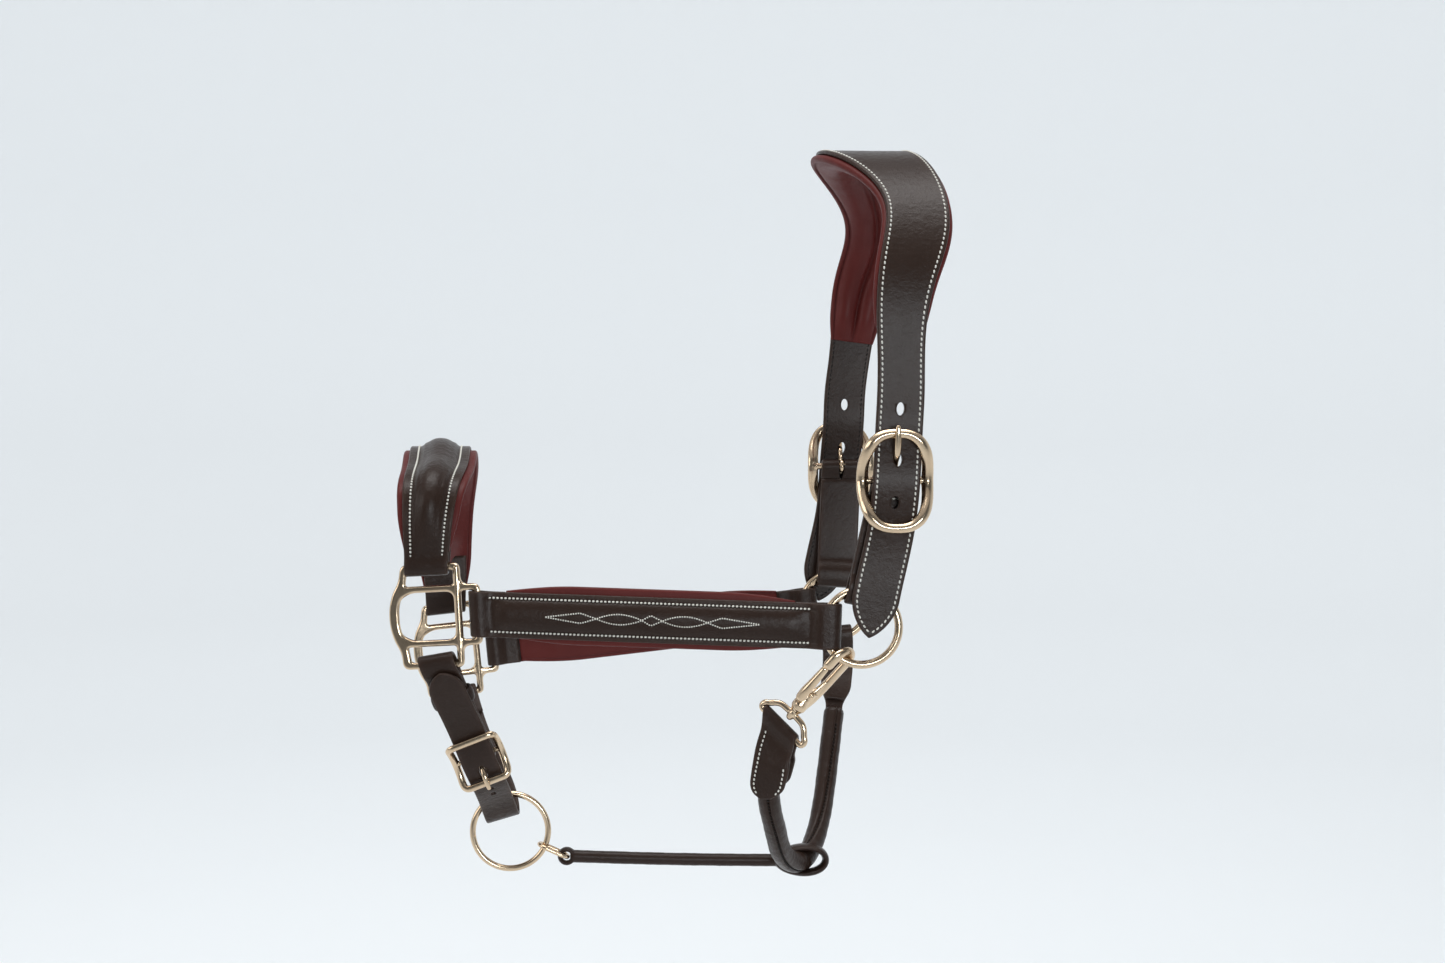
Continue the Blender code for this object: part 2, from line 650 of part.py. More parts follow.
def chin_billet_line():
    line, length = chin_line()
    out = [line.place(u, 0, n) for u, n in ((1.5, 7.0), (21.0, 5.7), (length - 27, 4.0), (length - 13, 3.7),
                                            (length, 5.2), (length + 12, 3.6))]
    off = on_fitting(OFF, 0.6, -26.2)
    bend_at = np.array(CHIN_BEND)
    low = [(bend_at[0] - 2.0, -11.0, bend_at[2] + 7.5), tuple(bend_at), (bend_at[0] - 1.0, 10.0, bend_at[2] + 6.0)]
    climb = bend_at * 0.45 + off * 0.55
    rows = [(*p, CHIN_WIDTH / 2) for p in out + low + [climb, off]]
    across = [CHIN_ACROSS, CHIN_ACROSS, CHIN_ACROSS, (0.95, 0.0, 0.25), (0.97, 0.1, 0.2),
              fitting_axis(OFF, 0)]
    return Line(rows, across, [(-205, 0, -290)], slanted=True)


def chin_billet():
    """Long strap from the off fitting, under the chin through the ring and up through the buckle."""
    line = chin_billet_line()
    length = line.length
    tip = [(0, 0), (1.5, 0), (4, 0), (8, 0), (12, 0)]
    run = [(u, 0.0) for u in np.linspace(18, length - 14, 34)]
    wide = BAR_ROUND + GAP + CHIN_THICK / 2
    end = [(length - 7, 0.6), (length - 2, wide)] + bend(length, wide, 80, -80) + [(length - 5, -2.8), (length - 18, -2.2)]

    def widen(u, share):
        x = min(u / 12.0, 1.0)
        return max(0.08, (1 - (1 - x) ** 2) ** 0.6)

    strap = sheet("chin_billet", line, tip + run + end, "leather", CHIN_THICK, 3, widen=widen)
    _, buckle_at = chin_line()
    fine = np.linspace(0, length / 2, 500)
    target = chin_frame(6.6, 0, 5.0)
    hole_u = fine[np.argmin([np.linalg.norm(line.at(u)[0] - target) for u in fine])]
    for step, long_hole in ((0.0, 6.6), (12.0, 4.4), (24.0, 4.4)):
        point, along, across, normal, _ = line.at(hole_u + step)
        bpy.ops.mesh.primitive_cylinder_add(vertices=14, radius=1.0, depth=1.0)
        hole = bpy.context.object
        hole.name = "chin_hole_cutter"
        hole.data.transform(Matrix.Diagonal((1.7 * MM, long_hole / 2 * MM, 6 * MM, 1)))
        hole.matrix_world = Matrix([[across[i], along[i], normal[i], point[i] * MM] for i in range(3)]
                                   + [[0, 0, 0, 1]])
        cut(strap, hole)


def chin_keeper():
    """Loop of leather round the short strap, under the billet; it slides along the strap."""
    line, _ = chin_line()
    half, low, high, place, width = CHIN_WIDTH / 2 + 1.3, -3.2, 3.2, 21.0, 7.0
    outline = rounded([(-half, low), (half, low), (half, high), (-half, high)], 2.2, 4)
    mesh = bpy.data.meshes.new("chin_keeper")
    grid = bmesh.new()
    count = len(outline)
    rings = [[grid.verts.new(Vector(line.at(place + s)[0] + line.at(place)[2] * v + line.at(place)[3] * n) * MM)
              for v, n in outline] for s in (-width / 2, width / 2)]
    for i in range(count):
        j = (i + 1) % count
        grid.faces.new((rings[0][i], rings[0][j], rings[1][j], rings[1][i]))
    grid.to_mesh(mesh)
    grid.free()
    obj = bpy.data.objects.new("chin_keeper", mesh)
    PARTS.objects.link(obj)
    skin = obj.modifiers.new("thickness", "SOLIDIFY")
    skin.thickness = 1.4 * MM
    skin.offset = 0.0
    pivot(finish(obj, "chin_keeper", "leather"), line.at(place)[0])


# ---------------------------------------------------------------- chin ring, link and connector

LINK_ANGLE = math.radians(-25)


def connector():
    """Brass link and rolled strap that tie the chin ring to the throatlash."""
    ring = np.array(CHIN_RING)
    torus("chin_ring", ring, (0, 1, 0), CHIN_RING_RADIUS, CHIN_RING_WIRE, segments=48)
    wire_at = ring + CHIN_RING_RADIUS * np.array((math.cos(LINK_ANGLE), 0, math.sin(LINK_ANGLE)))
    away = unit((math.cos(LINK_ANGLE), 0, math.sin(LINK_ANGLE)))
    side = np.array((0, 1.0, 0))
    reach, half = 9.2, 4.2
    near_end = wire_at - away * (CHIN_RING_WIRE + GAP + LINK_WIRE - half)
    points = [near_end + away * half * -math.cos(a) + side * half * math.sin(a)
              for a in np.linspace(-math.pi / 2, math.pi / 2, 9)]
    points += [near_end + away * (reach + half * math.cos(a)) + side * half * math.sin(a)
               for a in np.linspace(math.pi / 2, -math.pi / 2, 9)]
    tube("chin_link", points, LINK_WIRE, "brass", cyclic=True)
    hold = near_end + away * (reach + half)
    eye = np.array(CONNECTOR_EYE)
    knob_radius = 5.2
    knob = hold - away * 0.6
    front_eye = ring_tube("front_eye", knob, side, 2.5, knob_radius, 5.2)
    start = knob + unit(eye - knob) * (knob_radius - 1.55)
    stop = eye - np.array((14.2, 0, 0))
    middle = (start + stop) / 2 + np.array((0, 0, -0.5))
    run = [p[:3] for p in spline([(*start, 0), (*middle, 0), (*stop, 0)], 12)]
    roll = tube("roll", run, CONNECTOR_RADIUS, "leather", resolution=3)
    ear = loop_plate("rear_eye", eye, 9.0)
    joined("connector_strap", "leather", [roll, front_eye, ear])


def ring_tube(name, centre, axis, inner, outer, width, look="leather"):
    """A short thick-walled tube."""
    bpy.ops.mesh.primitive_circle_add(vertices=18, radius=(inner + outer) / 2 * MM, fill_type="NOTHING")
    obj = bpy.context.object
    mesh = bmesh.new()
    mesh.from_mesh(obj.data)
    for vert in mesh.verts:
        vert.co.z = -width / 2 * MM
    raised_edges = bmesh.ops.extrude_edge_only(mesh, edges=list(mesh.edges))
    for item in raised_edges["geom"]:
        if isinstance(item, bmesh.types.BMVert):
            item.co.z = width / 2 * MM
    bmesh.ops.recalc_face_normals(mesh, faces=mesh.faces)
    mesh.to_mesh(obj.data)
    mesh.free()
    obj.location = Vector(centre) * MM
    obj.rotation_mode = "QUATERNION"
    obj.rotation_quaternion = Vector(axis).to_track_quat("Z", "Y")
    skin = obj.modifiers.new("thickness", "SOLIDIFY")
    skin.thickness = (outer - inner) * MM
    skin.offset = 0.0
    return finish(obj, name, look)


def loop_plate(name, eye, width):
    """The connector's slit end, a long loop that the throatlash runs through."""
    def oval(long, tall):
        return [(long * math.copysign(abs(math.cos(t)) ** 0.8, math.cos(t)),
                 tall * math.copysign(abs(math.sin(t)) ** 0.8, math.sin(t)))
                for t in np.linspace(0, 2 * math.pi, 28, endpoint=False)]
    turn = Matrix.Rotation(math.radians(90), 4, "X")
    matrix = Matrix.Translation(Vector(eye) * MM) @ turn
    return plate(name, [oval(15.6, 10.6), oval(12.4, 7.4)], width, matrix, "leather")


# ---------------------------------------------------------------- throatlash and snap hook

HOOK_ON_RING = math.radians(238)
HOOK_UP = unit((0.613, -0.26, 0.741))
HOOK_SIDE = unit(np.array((-0.45, -0.8, 0.4)) - HOOK_UP * np.dot((-0.45, -0.8, 0.4), HOOK_UP))
RING_IN_HOOK = 38.0


def hook_point(p, q, depth=0.0):
    """Millimetre point on the snap hook: p along its shank, q towards its gate."""
    on_wire = np.array(RING[NEAR]) + RING_RADIUS * np.array((math.cos(HOOK_ON_RING), 0, math.sin(HOOK_ON_RING)))
    face = np.cross(HOOK_UP, HOOK_SIDE)
    return on_wire + HOOK_UP * (p - RING_IN_HOOK) + HOOK_SIDE * q + face * depth


def snap_hook():
    """Hook body, sprung gate on its pin, and the swivel eye below."""
    spine_q, top_p, wire = 6.6, 36.6, 2.1
    pin_p, pin_q = 13.0, 2.4
    face = np.cross(HOOK_UP, HOOK_SIDE)
    spine = [hook_point(p, q) for p, q in ((3.0, -1.0), (7.0, -3.6), (14.0, -5.6), (22.0, -6.6), (30.0, -6.6))]
    top = [hook_point(top_p + spine_q * math.sin(a), -spine_q * math.cos(a))
           for a in np.linspace(0, math.pi, 11)]
    nose = [hook_point(32.0, 6.6)]
    body = [tube("hook", spine + top + nose, wire, "brass"),
            tube("base", [hook_point(0.0, 0), hook_point(7.0, 0)], 4.2, "brass", resolution=4)]
    for hand in (-1, 1):
        body.append(ring_tube("ear", hook_point(pin_p, pin_q, 2.45 * hand), face, 1.0, 2.0, 1.0, "brass"))
        body.append(tube("arm", [hook_point(pin_p, -5.2, 1.3 * hand), hook_point(pin_p, 0.9, 2.4 * hand)],
                         0.7, "brass"))
    joined("snap_hook", "brass", body)
    lever = tube("lever", [hook_point(8.2, 5.6), hook_point(14.0, 6.3), hook_point(29.2, 6.6)], 1.7, "brass")
    lug = tube("lug", [hook_point(pin_p, 5.6, -0.3), hook_point(pin_p, 3.8, -0.3)], 1.0, "brass")
    eye = ring_tube("gate_eye", hook_point(pin_p, pin_q, -0.3), face, 1.0, 2.0, 2.4, "brass")
    pivot(joined("snap_gate", "brass", [lever, lug, eye]), hook_point(pin_p, pin_q))
    tube("snap_pin", [hook_point(pin_p, pin_q, -2.9), hook_point(pin_p, pin_q, 2.9)], 0.7, "steel")
    coil = [hook_point(pin_p + 1.35 * math.cos(t * math.pi / 4), pin_q + 1.35 * math.sin(t * math.pi / 4),
                       1.2 + 0.5 * t / 10) for t in range(11)]
    tube("snap_spring", coil, 0.16, "steel", resolution=1)
    swivel_eye()


EYE_BAR = 12.4
EYE_ACROSS = unit(np.array((0.66, -0.3, -0.69)) - HOOK_UP * np.dot((0.66, -0.3, -0.69), HOOK_UP))


def eye_point(down, across):
    return hook_point(-down, 0) + EYE_ACROSS * across


def swivel_eye():
    """Square eye that turns on the end of the hook and holds the throatlash tab."""
    half = [(3.0, 2.0), (3.2, 6.4), (4.8, 10.6), (7.6, 13.8), (EYE_BAR - 2.2, 15.4), (EYE_BAR, 14.0)]
    outline = half + [(d, -a) for d, a in reversed(half)]
    frame = tube("frame", [eye_point(d, a) for d, a in outline], 1.5, "brass", cyclic=True)
    collar = tube("collar", [eye_point(0.6, 0), eye_point(5.0, 0)], 3.0, "brass", resolution=3)
    joined("snap_eye", "brass", [frame, collar])


TAB_FOOT = (-57.6, -59.0, -341.5)


def throat_tab():
    """Stitched tab folded round the swivel eye; the roll starts inside it."""
    top = eye_point(EYE_BAR, 0.8)
    foot = np.array(TAB_FOOT)
    rows = [(*top, 10.8), (*(top * 0.72 + foot * 0.28), 10.2), (*(top * 0.3 + foot * 0.7), 9.6), (*foot, 9.2)]
    line = Line(rows, [EYE_ACROSS, (0.93, -0.25, -0.45), (0.97, -0.3, -0.12), (0.97, -0.3, 0)],
                (-0.2, -1, 0), slanted=True)
    length = line.length
    wide = 1.5 + GAP + FOLD_THICK / 2
    layer = ROLL_RADIUS + GAP + FOLD_THICK / 2
    path = [(length, -layer - 1.2), (length * 0.8, -layer - 0.3), (length * 0.5, -layer), (9.0, -wide - 0.5)]
    path += [(u * 1.4, n) for u, n in bend(0, wide, -95, -265, 9)]
    path += [(9.0, wide + 0.5), (length * 0.5, layer), (length * 0.8, layer), (length, layer)]
    return line, path


def throatlash():
    line, path = throat_tab()

    def widen(u, share):
        x = min(max((line.length - u) / 9.0, 0.0), 1.0)
        return max(0.35, (1 - (1 - x) ** 2) ** 0.5)

    sheet("throat_tab", line, path, "leather", FOLD_THICK, 3, widen=widen)
    top = line.place(line.length * 0.55, 0, 0)
    half = 9.2
    route = [tuple(top), tuple(line.place(line.length * 0.9, 0, 0)), (-52.6, -46.0, -362.0),
             (-43.5, -19.0, -385.5), (-32.5, 0.0, -391.3), (-22.5, 19.0, -382.5), (-13.5, 41.0, -354.0),
             (-7.5, 58.0, -324.0), (-6.0, 62.0, -316.0)]
    points = [p[:3] for p in spline([(*p, 0) for p in route], 34)]
    roll_end = np.array(route[-1])
    tube("throat_roll", points, ROLL_RADIUS, "leather", resolution=3)
    bar, bow = ring_hold(OFF, roll_end + (6.0, 0, 0), half)
    straight = bar + unit(bar - np.array(RING[OFF])) * 14.0
    rows = [(*bar, half), (*straight, half), (*((straight + roll_end) / 2), half), (*roll_end, half)]
    strap_line = Line(rows, (1, 0, 0), (0, 1, 0))
    reach = strap_line.length
    wide = RING_ROUND + GAP + FOLD_THICK / 2
    layer = (FOLD_THICK + 0.4) / 2
    low = reach - 2.0
    path = [(low - 6, -layer), (bow + 6, -layer), (bow, -wide)] + bend(0, wide, 255, 105)
    path += [(bow, wide), (bow + 6, layer), (low - 18, layer), (low - 12, layer), (low - 6, layer), (low, layer)]

    def narrow(u, share):
        x = min(max((u - (low - 16)) / 14.0, 0.0), 1.0)
        return 1.0 - 0.45 * x * x * (3 - 2 * x)

    sheet("off_throat_strap", strap_line, path, "leather", FOLD_THICK, 3, widen=narrow)


# ---------------------------------------------------------------- build

crown_strap()
crown_pad()
for word, side in SIDES:
    crown_buckle(word, side)
    cheek_strap(word, side)
    torus(word + "_side_ring", RING[side], ring_axis(), RING_RADIUS, RING_WIRE)
    fitting(word, side)
    cheekpiece(word, side)
noseband()
chin_strap()
chin_buckle()
chin_billet()
chin_keeper()
connector()
snap_hook()
throatlash()

# Everything in front of the side rings turns about the line through them
nose_axis = bpy.data.objects.new("nose_frame_axis", None)
nose_axis.location = (Vector(RING[NEAR]) + Vector(RING[OFF])) / 2 * MM
nose_axis.empty_display_size = 0.02
PARTS.objects.link(nose_axis)
HEAD_PIECES = ("crown", "cheek_strap", "side_ring", "cutter")
for obj in list(PARTS.objects):
    if obj is not nose_axis and not any(word in obj.name for word in HEAD_PIECES):
        obj.parent = nose_axis
        obj.matrix_parent_inverse = Matrix.Translation(-nose_axis.location)
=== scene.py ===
"""A leather headcollar: padded crown, raised cheekpieces and noseband, rolled throatlash, brass fittings."""
import math

import bmesh
import bpy
import numpy as np
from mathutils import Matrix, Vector, noise


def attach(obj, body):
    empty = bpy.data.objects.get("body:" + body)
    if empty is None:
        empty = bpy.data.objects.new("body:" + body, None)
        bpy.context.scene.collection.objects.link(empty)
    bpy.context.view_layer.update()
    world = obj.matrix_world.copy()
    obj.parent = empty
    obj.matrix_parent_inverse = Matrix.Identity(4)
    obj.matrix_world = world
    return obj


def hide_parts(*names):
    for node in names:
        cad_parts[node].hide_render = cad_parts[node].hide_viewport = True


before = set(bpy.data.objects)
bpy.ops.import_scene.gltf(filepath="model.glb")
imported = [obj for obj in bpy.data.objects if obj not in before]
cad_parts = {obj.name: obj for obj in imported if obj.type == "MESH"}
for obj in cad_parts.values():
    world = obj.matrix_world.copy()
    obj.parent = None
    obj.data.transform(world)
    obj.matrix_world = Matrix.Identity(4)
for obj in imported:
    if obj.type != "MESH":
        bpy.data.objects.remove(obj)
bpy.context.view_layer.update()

# ------------------------------------------------------------------ crown strap
# The crown is one long bridle-leather strap, 50 mm wide over the poll and 25 mm at the billets, which
# are cut to a point and punched with oval holes. Its edges are rounded and dyed, and a row of waxed
# linen thread runs along both of them. Lengths here are in millimetres, in the frame of the solids.

MM = 0.001
NEAR, OFF = -1, 1
SIDES = (("near", NEAR), ("off", OFF))
CROWN_THICK = 2.6
CROWN_WIDTH = 25.2
POLL_WIDTH = 50.0
HEAD_HALF = 92.0
ARCH_FOOT = -79.0
ARCH_RISE = 89.6
TIP_LENGTH = 22.0
TIP_ROUND = 1.3
BUCKLE = {NEAR: (6.5, -88.0, -171.0), OFF: (1.6, 88.0, -168.3)}
STITCH_LENGTH = 2.8
THREAD = 0.4


def unit(vectors):
    vectors = np.asarray(vectors, float)
    return vectors / np.linalg.norm(vectors, axis=-1, keepdims=True)


def distance_along(points):
    """How far each point of a path is from its start."""
    return np.concatenate([[0.0], np.cumsum(np.linalg.norm(np.diff(points, axis=0), axis=1))])


def spline(rows, count):
    """Evenly spaced rows on the natural cubic spline through the given rows."""
    rows = np.array(rows, float)
    knots = distance_along(rows[:, :3])
    steps = np.diff(knots)
    last = len(rows) - 1
    system, right = np.eye(last + 1), np.zeros_like(rows)
    slope = np.diff(rows, axis=0) / steps[:, None]
    for i in range(1, last):
        system[i, i - 1:i + 2] = steps[i - 1], 2 * (steps[i - 1] + steps[i]), steps[i]
        right[i] = 6 * (slope[i] - slope[i - 1])
    bend = np.linalg.solve(system, right)
    fine = np.linspace(0, knots[-1], 900)
    k = np.clip(np.searchsorted(knots, fine, side="right") - 1, 0, last - 1)
    h, a, b = steps[k][:, None], (knots[k + 1] - fine)[:, None], (fine - knots[k])[:, None]
    curve = (bend[k] * a ** 3 + bend[k + 1] * b ** 3) / (6 * h)
    curve += (rows[k] / h - bend[k] * h / 6) * a + (rows[k + 1] / h - bend[k + 1] * h / 6) * b
    run = distance_along(curve[:, :3])
    even = np.linspace(0, run[-1], count)
    return np.stack([np.interp(even, run, column) for column in curve.T], axis=1)


def smooth_path(points, count):
    """Evenly spaced points on the smooth curve through the given ones."""
    return spline([(*p, 0) for p in points], count)[:, :3]


def resampled(points, spacing):
    """The same path with evenly spaced points."""
    points = np.asarray(points, float)
    run = distance_along(points)
    even = np.linspace(0, run[-1], max(3, int(round(run[-1] / spacing)) + 1))
    return np.stack([np.interp(even, run, column) for column in points.T], axis=1)


class Run:
    """How a strap lies: its middle, half width and the way its width points, by length along it."""

    def __init__(self, rows, across, outward, slanted=False):
        rows = spline(rows, 600)
        self.mid, self.half_width = rows[:, :3], rows[:, 3]
        self.u = distance_along(self.mid)
        self.length = self.u[-1]
        self.along = unit(np.gradient(self.mid, self.u, axis=0))
        hints = np.array(across, float).reshape(-1, 3)
        place = np.linspace(0, self.length, len(hints))
        hints = np.stack([np.interp(self.u, place, h) for h in hints.T], axis=1)
        square = unit(hints - self.along * np.sum(hints * self.along, axis=1, keepdims=True))
        self.across = unit(hints) if slanted else square
        outward = np.array(outward, float)
        toward = outward if outward.ndim == 1 else self.mid - outward[0]
        normal = np.cross(self.along, square)
        self.normal = normal * np.sign(np.sum(normal * toward, axis=1))[:, None]

    def pick(self, table, u):
        """The rows of one of the tables above at length u."""
        return np.stack([np.interp(u, self.u, column) for column in table.T], axis=-1)

    def half(self, u):
        """Half the strap's width at length u."""
        return np.interp(u, self.u, self.half_width)

    def place(self, u, x, n):
        """The points at length u, x millimetres across and n millimetres out."""
        u, x, n = np.broadcast_arrays(np.asarray(u, float), x, n)
        inside = np.clip(u, 0, self.length)
        mid = self.pick(self.mid, inside) + self.pick(self.along, inside) * (u - inside)[..., None]
        outward = unit(self.pick(self.normal, inside))
        return mid + self.pick(self.across, inside) * x[..., None] + outward * n[..., None]

    def at_height(self, z, side):
        """Length along the run where it passes height z on one side of the head."""
        mine = self.mid[:, 1] * side > 0
        return self.u[mine][np.argmin(abs(self.mid[mine, 2] - z))]


def shell(rings, closed=False):
    """Points and faces of a skin over rings of points, with flat caps unless it closes on itself."""
    count, size = rings.shape[:2]
    faces = []
    for i in range(count if closed else count - 1):
        a, b = i * size, (i + 1) % count * size
        faces += [(a + j, a + (j + 1) % size, b + (j + 1) % size, b + j) for j in range(size)]
    if not closed:
        faces += [tuple(range(size))[::-1], tuple(range((count - 1) * size, count * size))]
    return rings.reshape(-1, 3), faces


def strap_shell(run, path, thick, columns=13, width=None, lift=None, spacing=1.2, ease=3):
    """A strap with rounded edges along path, a list of (length along, distance out).
    Also gives, for each point, how near it is to the strap's edge."""
    path = resampled(path, spacing)
    for _ in range(ease):
        path[1:-1] = path[1:-1] * 0.5 + (path[:-2] + path[2:]) * 0.25
    tangent = unit(np.gradient(path, axis=0))
    out = np.stack([tangent[:, 1], -tangent[:, 0]], axis=1)
    half = run.half(np.clip(path[:, 0], 0, run.length))
    if width is not None:
        half = half * width(path[:, 0])
    edge = np.minimum(thick * 0.46, half * 0.8)
    turn = np.radians(np.linspace(80, -80, 7))
    flat = np.linspace(-1, 1, columns)
    taper = np.ones(len(path))
    taper[[0, -1]], taper[[1, -2]] = 0.72, 0.94

    def round_edge(a):
        return (thick / 2 - edge) * np.sign(math.sin(a)) * (abs(a) > 0.01) + edge * math.sin(a)

    x, n, near = [], [], []
    for c in flat:
        x.append(c * (half - edge))
        n.append(thick / 2 * taper + (lift(c, path[:, 0], path[:, 1]) if lift else 0.0))
        near.append(np.full(len(path), abs(c) ** 10))
    rim = n[-1] - thick / 2
    for a in turn:
        x.append(half - edge + edge * math.cos(a))
        n.append(round_edge(a) * taper + rim * (a > 0))
        near.append(np.ones(len(path)))
    for c in flat[::-1]:
        x.append(c * (half - edge))
        n.append(-thick / 2 * taper)
        near.append(np.full(len(path), abs(c) ** 10))
    for a in turn[::-1]:
        x.append(-(half - edge + edge * math.cos(a)))
        n.append(round_edge(a) * taper + rim * (a > 0))
        near.append(np.ones(len(path)))
    x, n, near = np.array(x).T, np.array(n).T, np.array(near).T
    u = path[:, :1] + out[:, :1] * n
    height = path[:, 1:] + out[:, 1:] * n
    points, faces = shell(run.place(u, x, height))
    return points, faces, near.reshape(-1)


def piece(name, shells, material, body, *nodes, padded=None):
    """One piece of the headcollar made of one or more skins; it stands for the named solids."""
    points, faces, near, start = [], [], [], 0
    for part in shells:
        points.append(part[0])
        near.append(part[2] if len(part) > 2 else np.zeros(len(part[0])))
        faces += [tuple(start + i for i in face) for face in part[1]]
        start += len(part[0])
    mesh = bpy.data.meshes.new(name)
    mesh.from_pydata((np.concatenate(points) * MM).tolist(), [], faces)
    rub = mesh.attributes.new("rub", "FLOAT", "POINT")
    rub.data.foreach_set("value", np.concatenate(near).astype(np.float32))
    tidy = bmesh.new()
    tidy.from_mesh(mesh)
    bmesh.ops.recalc_face_normals(tidy, faces=tidy.faces)
    tidy.to_mesh(mesh)
    tidy.free()
    mesh.shade_smooth()
    mesh.materials.append(material)
    obj = bpy.data.objects.new(name, mesh)
    bpy.context.scene.collection.objects.link(obj)
    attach(obj, body)
    if nodes:
        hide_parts(*nodes)
    return obj


def stitches(name, run, seams, body, pitch=STITCH_LENGTH, slant=0.16, radius=THREAD, yarn=None):
    """Saddle stitching. Each seam is a list of (length along, across, out) on the strap's surface."""
    shape = [(-1.0, 0.3), (-0.82, 0.75), (-0.4, 1.0), (0.4, 1.0), (0.82, 0.75), (1.0, 0.3)]
    around = np.radians(np.arange(0, 360, 60))
    skins = []
    for seam in seams:
        seam = np.asarray(seam, float)
        line = run.place(seam[:, 0], seam[:, 1], seam[:, 2])
        above = run.place(seam[:, 0], seam[:, 1], seam[:, 2] + 0.5)
        both = resampled(np.concatenate([line, above], axis=1), pitch * math.sqrt(2))
        mids = (both[1:] + both[:-1]) / 2
        ways = unit(both[1:, :3] - both[:-1, :3])
        ups = unit(mids[:, 3:] - mids[:, :3])
        sides = np.cross(ups, ways)
        for mid, way, up, side in zip(mids[:, :3], ways, ups, sides):
            way = unit(way + side * slant)
            flank = np.cross(up, way)
            rings = np.array([[mid + way * t * pitch * 0.33 + up * (0.18 - 0.34 * t * t)
                               + (flank * math.cos(a) * 1.15 + up * math.sin(a)) * radius * r for a in around]
                              for t, r in shape])
            skins.append(shell(rings))
    return piece(name, skins, yarn or thread, body)


class Finish:
    """A material being built up: its shader, and the ways to give it tones, gloss and relief."""

    def __init__(self, name, colour, roughness, metallic=0.0):
        self.material = bpy.data.materials.new(name)
        self.material.use_nodes = True
        self.tree = self.material.node_tree
        self.shader = self.tree.nodes["Principled BSDF"].inputs
        self.shader["Base Color"].default_value = (*colour, 1)
        self.shader["Roughness"].default_value = roughness
        self.shader["Metallic"].default_value = metallic
        self.place = self.tree.nodes.new("ShaderNodeTexCoord").outputs["Object"]

    def add(self, kind, feeds=(), **settings):
        node = self.tree.nodes.new(kind)
        for key, value in settings.items():
            if hasattr(node, key):
                setattr(node, key, value)
            else:
                node.inputs[key.replace("_", " ").title()].default_value = value
        for socket, source in feeds:
            self.tree.links.new(source, node.inputs[socket])
        return node

    def noise(self, scale, detail, roughness=0.5):
        """Cloudy noise; scale is in cells per metre."""
        settings = {"scale": scale, "detail": detail, "roughness": roughness}
        return self.add("ShaderNodeTexNoise", [("Vector", self.place)], **settings).outputs["Fac"]

    def tones(self, pattern, first, second, *feeds):
        """The base colour: two tones mixed by a pattern."""
        mix = self.add("ShaderNodeMix", [("Factor", pattern), *feeds], data_type="RGBA")
        mix.inputs["A"].default_value, mix.inputs["B"].default_value = (*first, 1), (*second, 1)
        self.tree.links.new(mix.outputs["Result"], self.shader["Base Color"])
        return mix.outputs["Result"]

    def gloss(self, pattern, low, high):
        """Roughness between two values by a pattern."""
        spread = self.add("ShaderNodeMapRange", [("Value", pattern)])
        spread.inputs["To Min"].default_value, spread.inputs["To Max"].default_value = low, high
        self.tree.links.new(spread.outputs["Result"], self.shader["Roughness"])

    def relief(self, height, strength, distance, below=None):
        """Fine bumps, over the ones below if there are any."""
        feeds = [("Height", height)] + ([("Normal", below)] if below else [])
        bump = self.add("ShaderNodeBump", feeds, strength=strength, distance=distance)
        self.tree.links.new(bump.outputs["Normal"], self.shader["Normal"])
        return bump.outputs["Normal"]


DULL_WAX = 0.17
WAX_ROUGHNESS = 0.32


def leather(name, dark, light, rubbed, grain=1200.0, depth=0.5, roughness=(0.24, 0.40), coat=0.1):
    """Dyed and waxed hide: pores, fine creases, slow changes of colour, and lighter rubbed edges."""
    hide = Finish(name, dark, 0.4)
    fleck = hide.noise(420.0, 3.0)
    tone = hide.tones(hide.noise(38.0, 5.0), dark, light)
    rub = hide.add("ShaderNodeAttribute", attribute_name="rub")
    worn = hide.add("ShaderNodeMath", [(0, rub.outputs["Fac"]), (1, fleck)], operation="MULTIPLY")
    hide.tones(worn.outputs[0], dark, rubbed, ("A", tone))
    hide.gloss(fleck, *roughness)
    hide.shader["Specular IOR Level"].default_value = DULL_WAX
    hide.shader["Coat Weight"].default_value = coat
    hide.shader["Coat Roughness"].default_value = WAX_ROUGHNESS
    pores = hide.add("ShaderNodeTexVoronoi", [("Vector", hide.place)], feature="SMOOTH_F1", scale=grain)
    skin = hide.relief(pores.outputs["Distance"], depth, 0.00012)
    hide.relief(hide.noise(grain * 0.28, 6.0, 0.62), depth, 0.0009, skin)
    return hide.material


def waxed_thread():
    """Off-white linen, with the twist of its plies."""
    linen = Finish("linen_thread", (0.78, 0.74, 0.62), 0.7)
    linen.tones(linen.noise(160.0, 3.0), (0.80, 0.77, 0.67), (0.95, 0.94, 0.88))
    plies = linen.add("ShaderNodeTexWave", [("Vector", linen.place)], scale=2600.0, distortion=2.0)
    linen.relief(plies.outputs["Fac"], 0.5, 0.0001)
    return linen.material


brown = leather("brown_leather", (0.022, 0.0118, 0.0082), (0.036, 0.0205, 0.0148), (0.055, 0.033, 0.025))
thread = waxed_thread()
dark_thread = leather("dark_thread", (0.006, 0.004, 0.003), (0.012, 0.008, 0.006), (0.012, 0.008, 0.006), grain=2400.0)


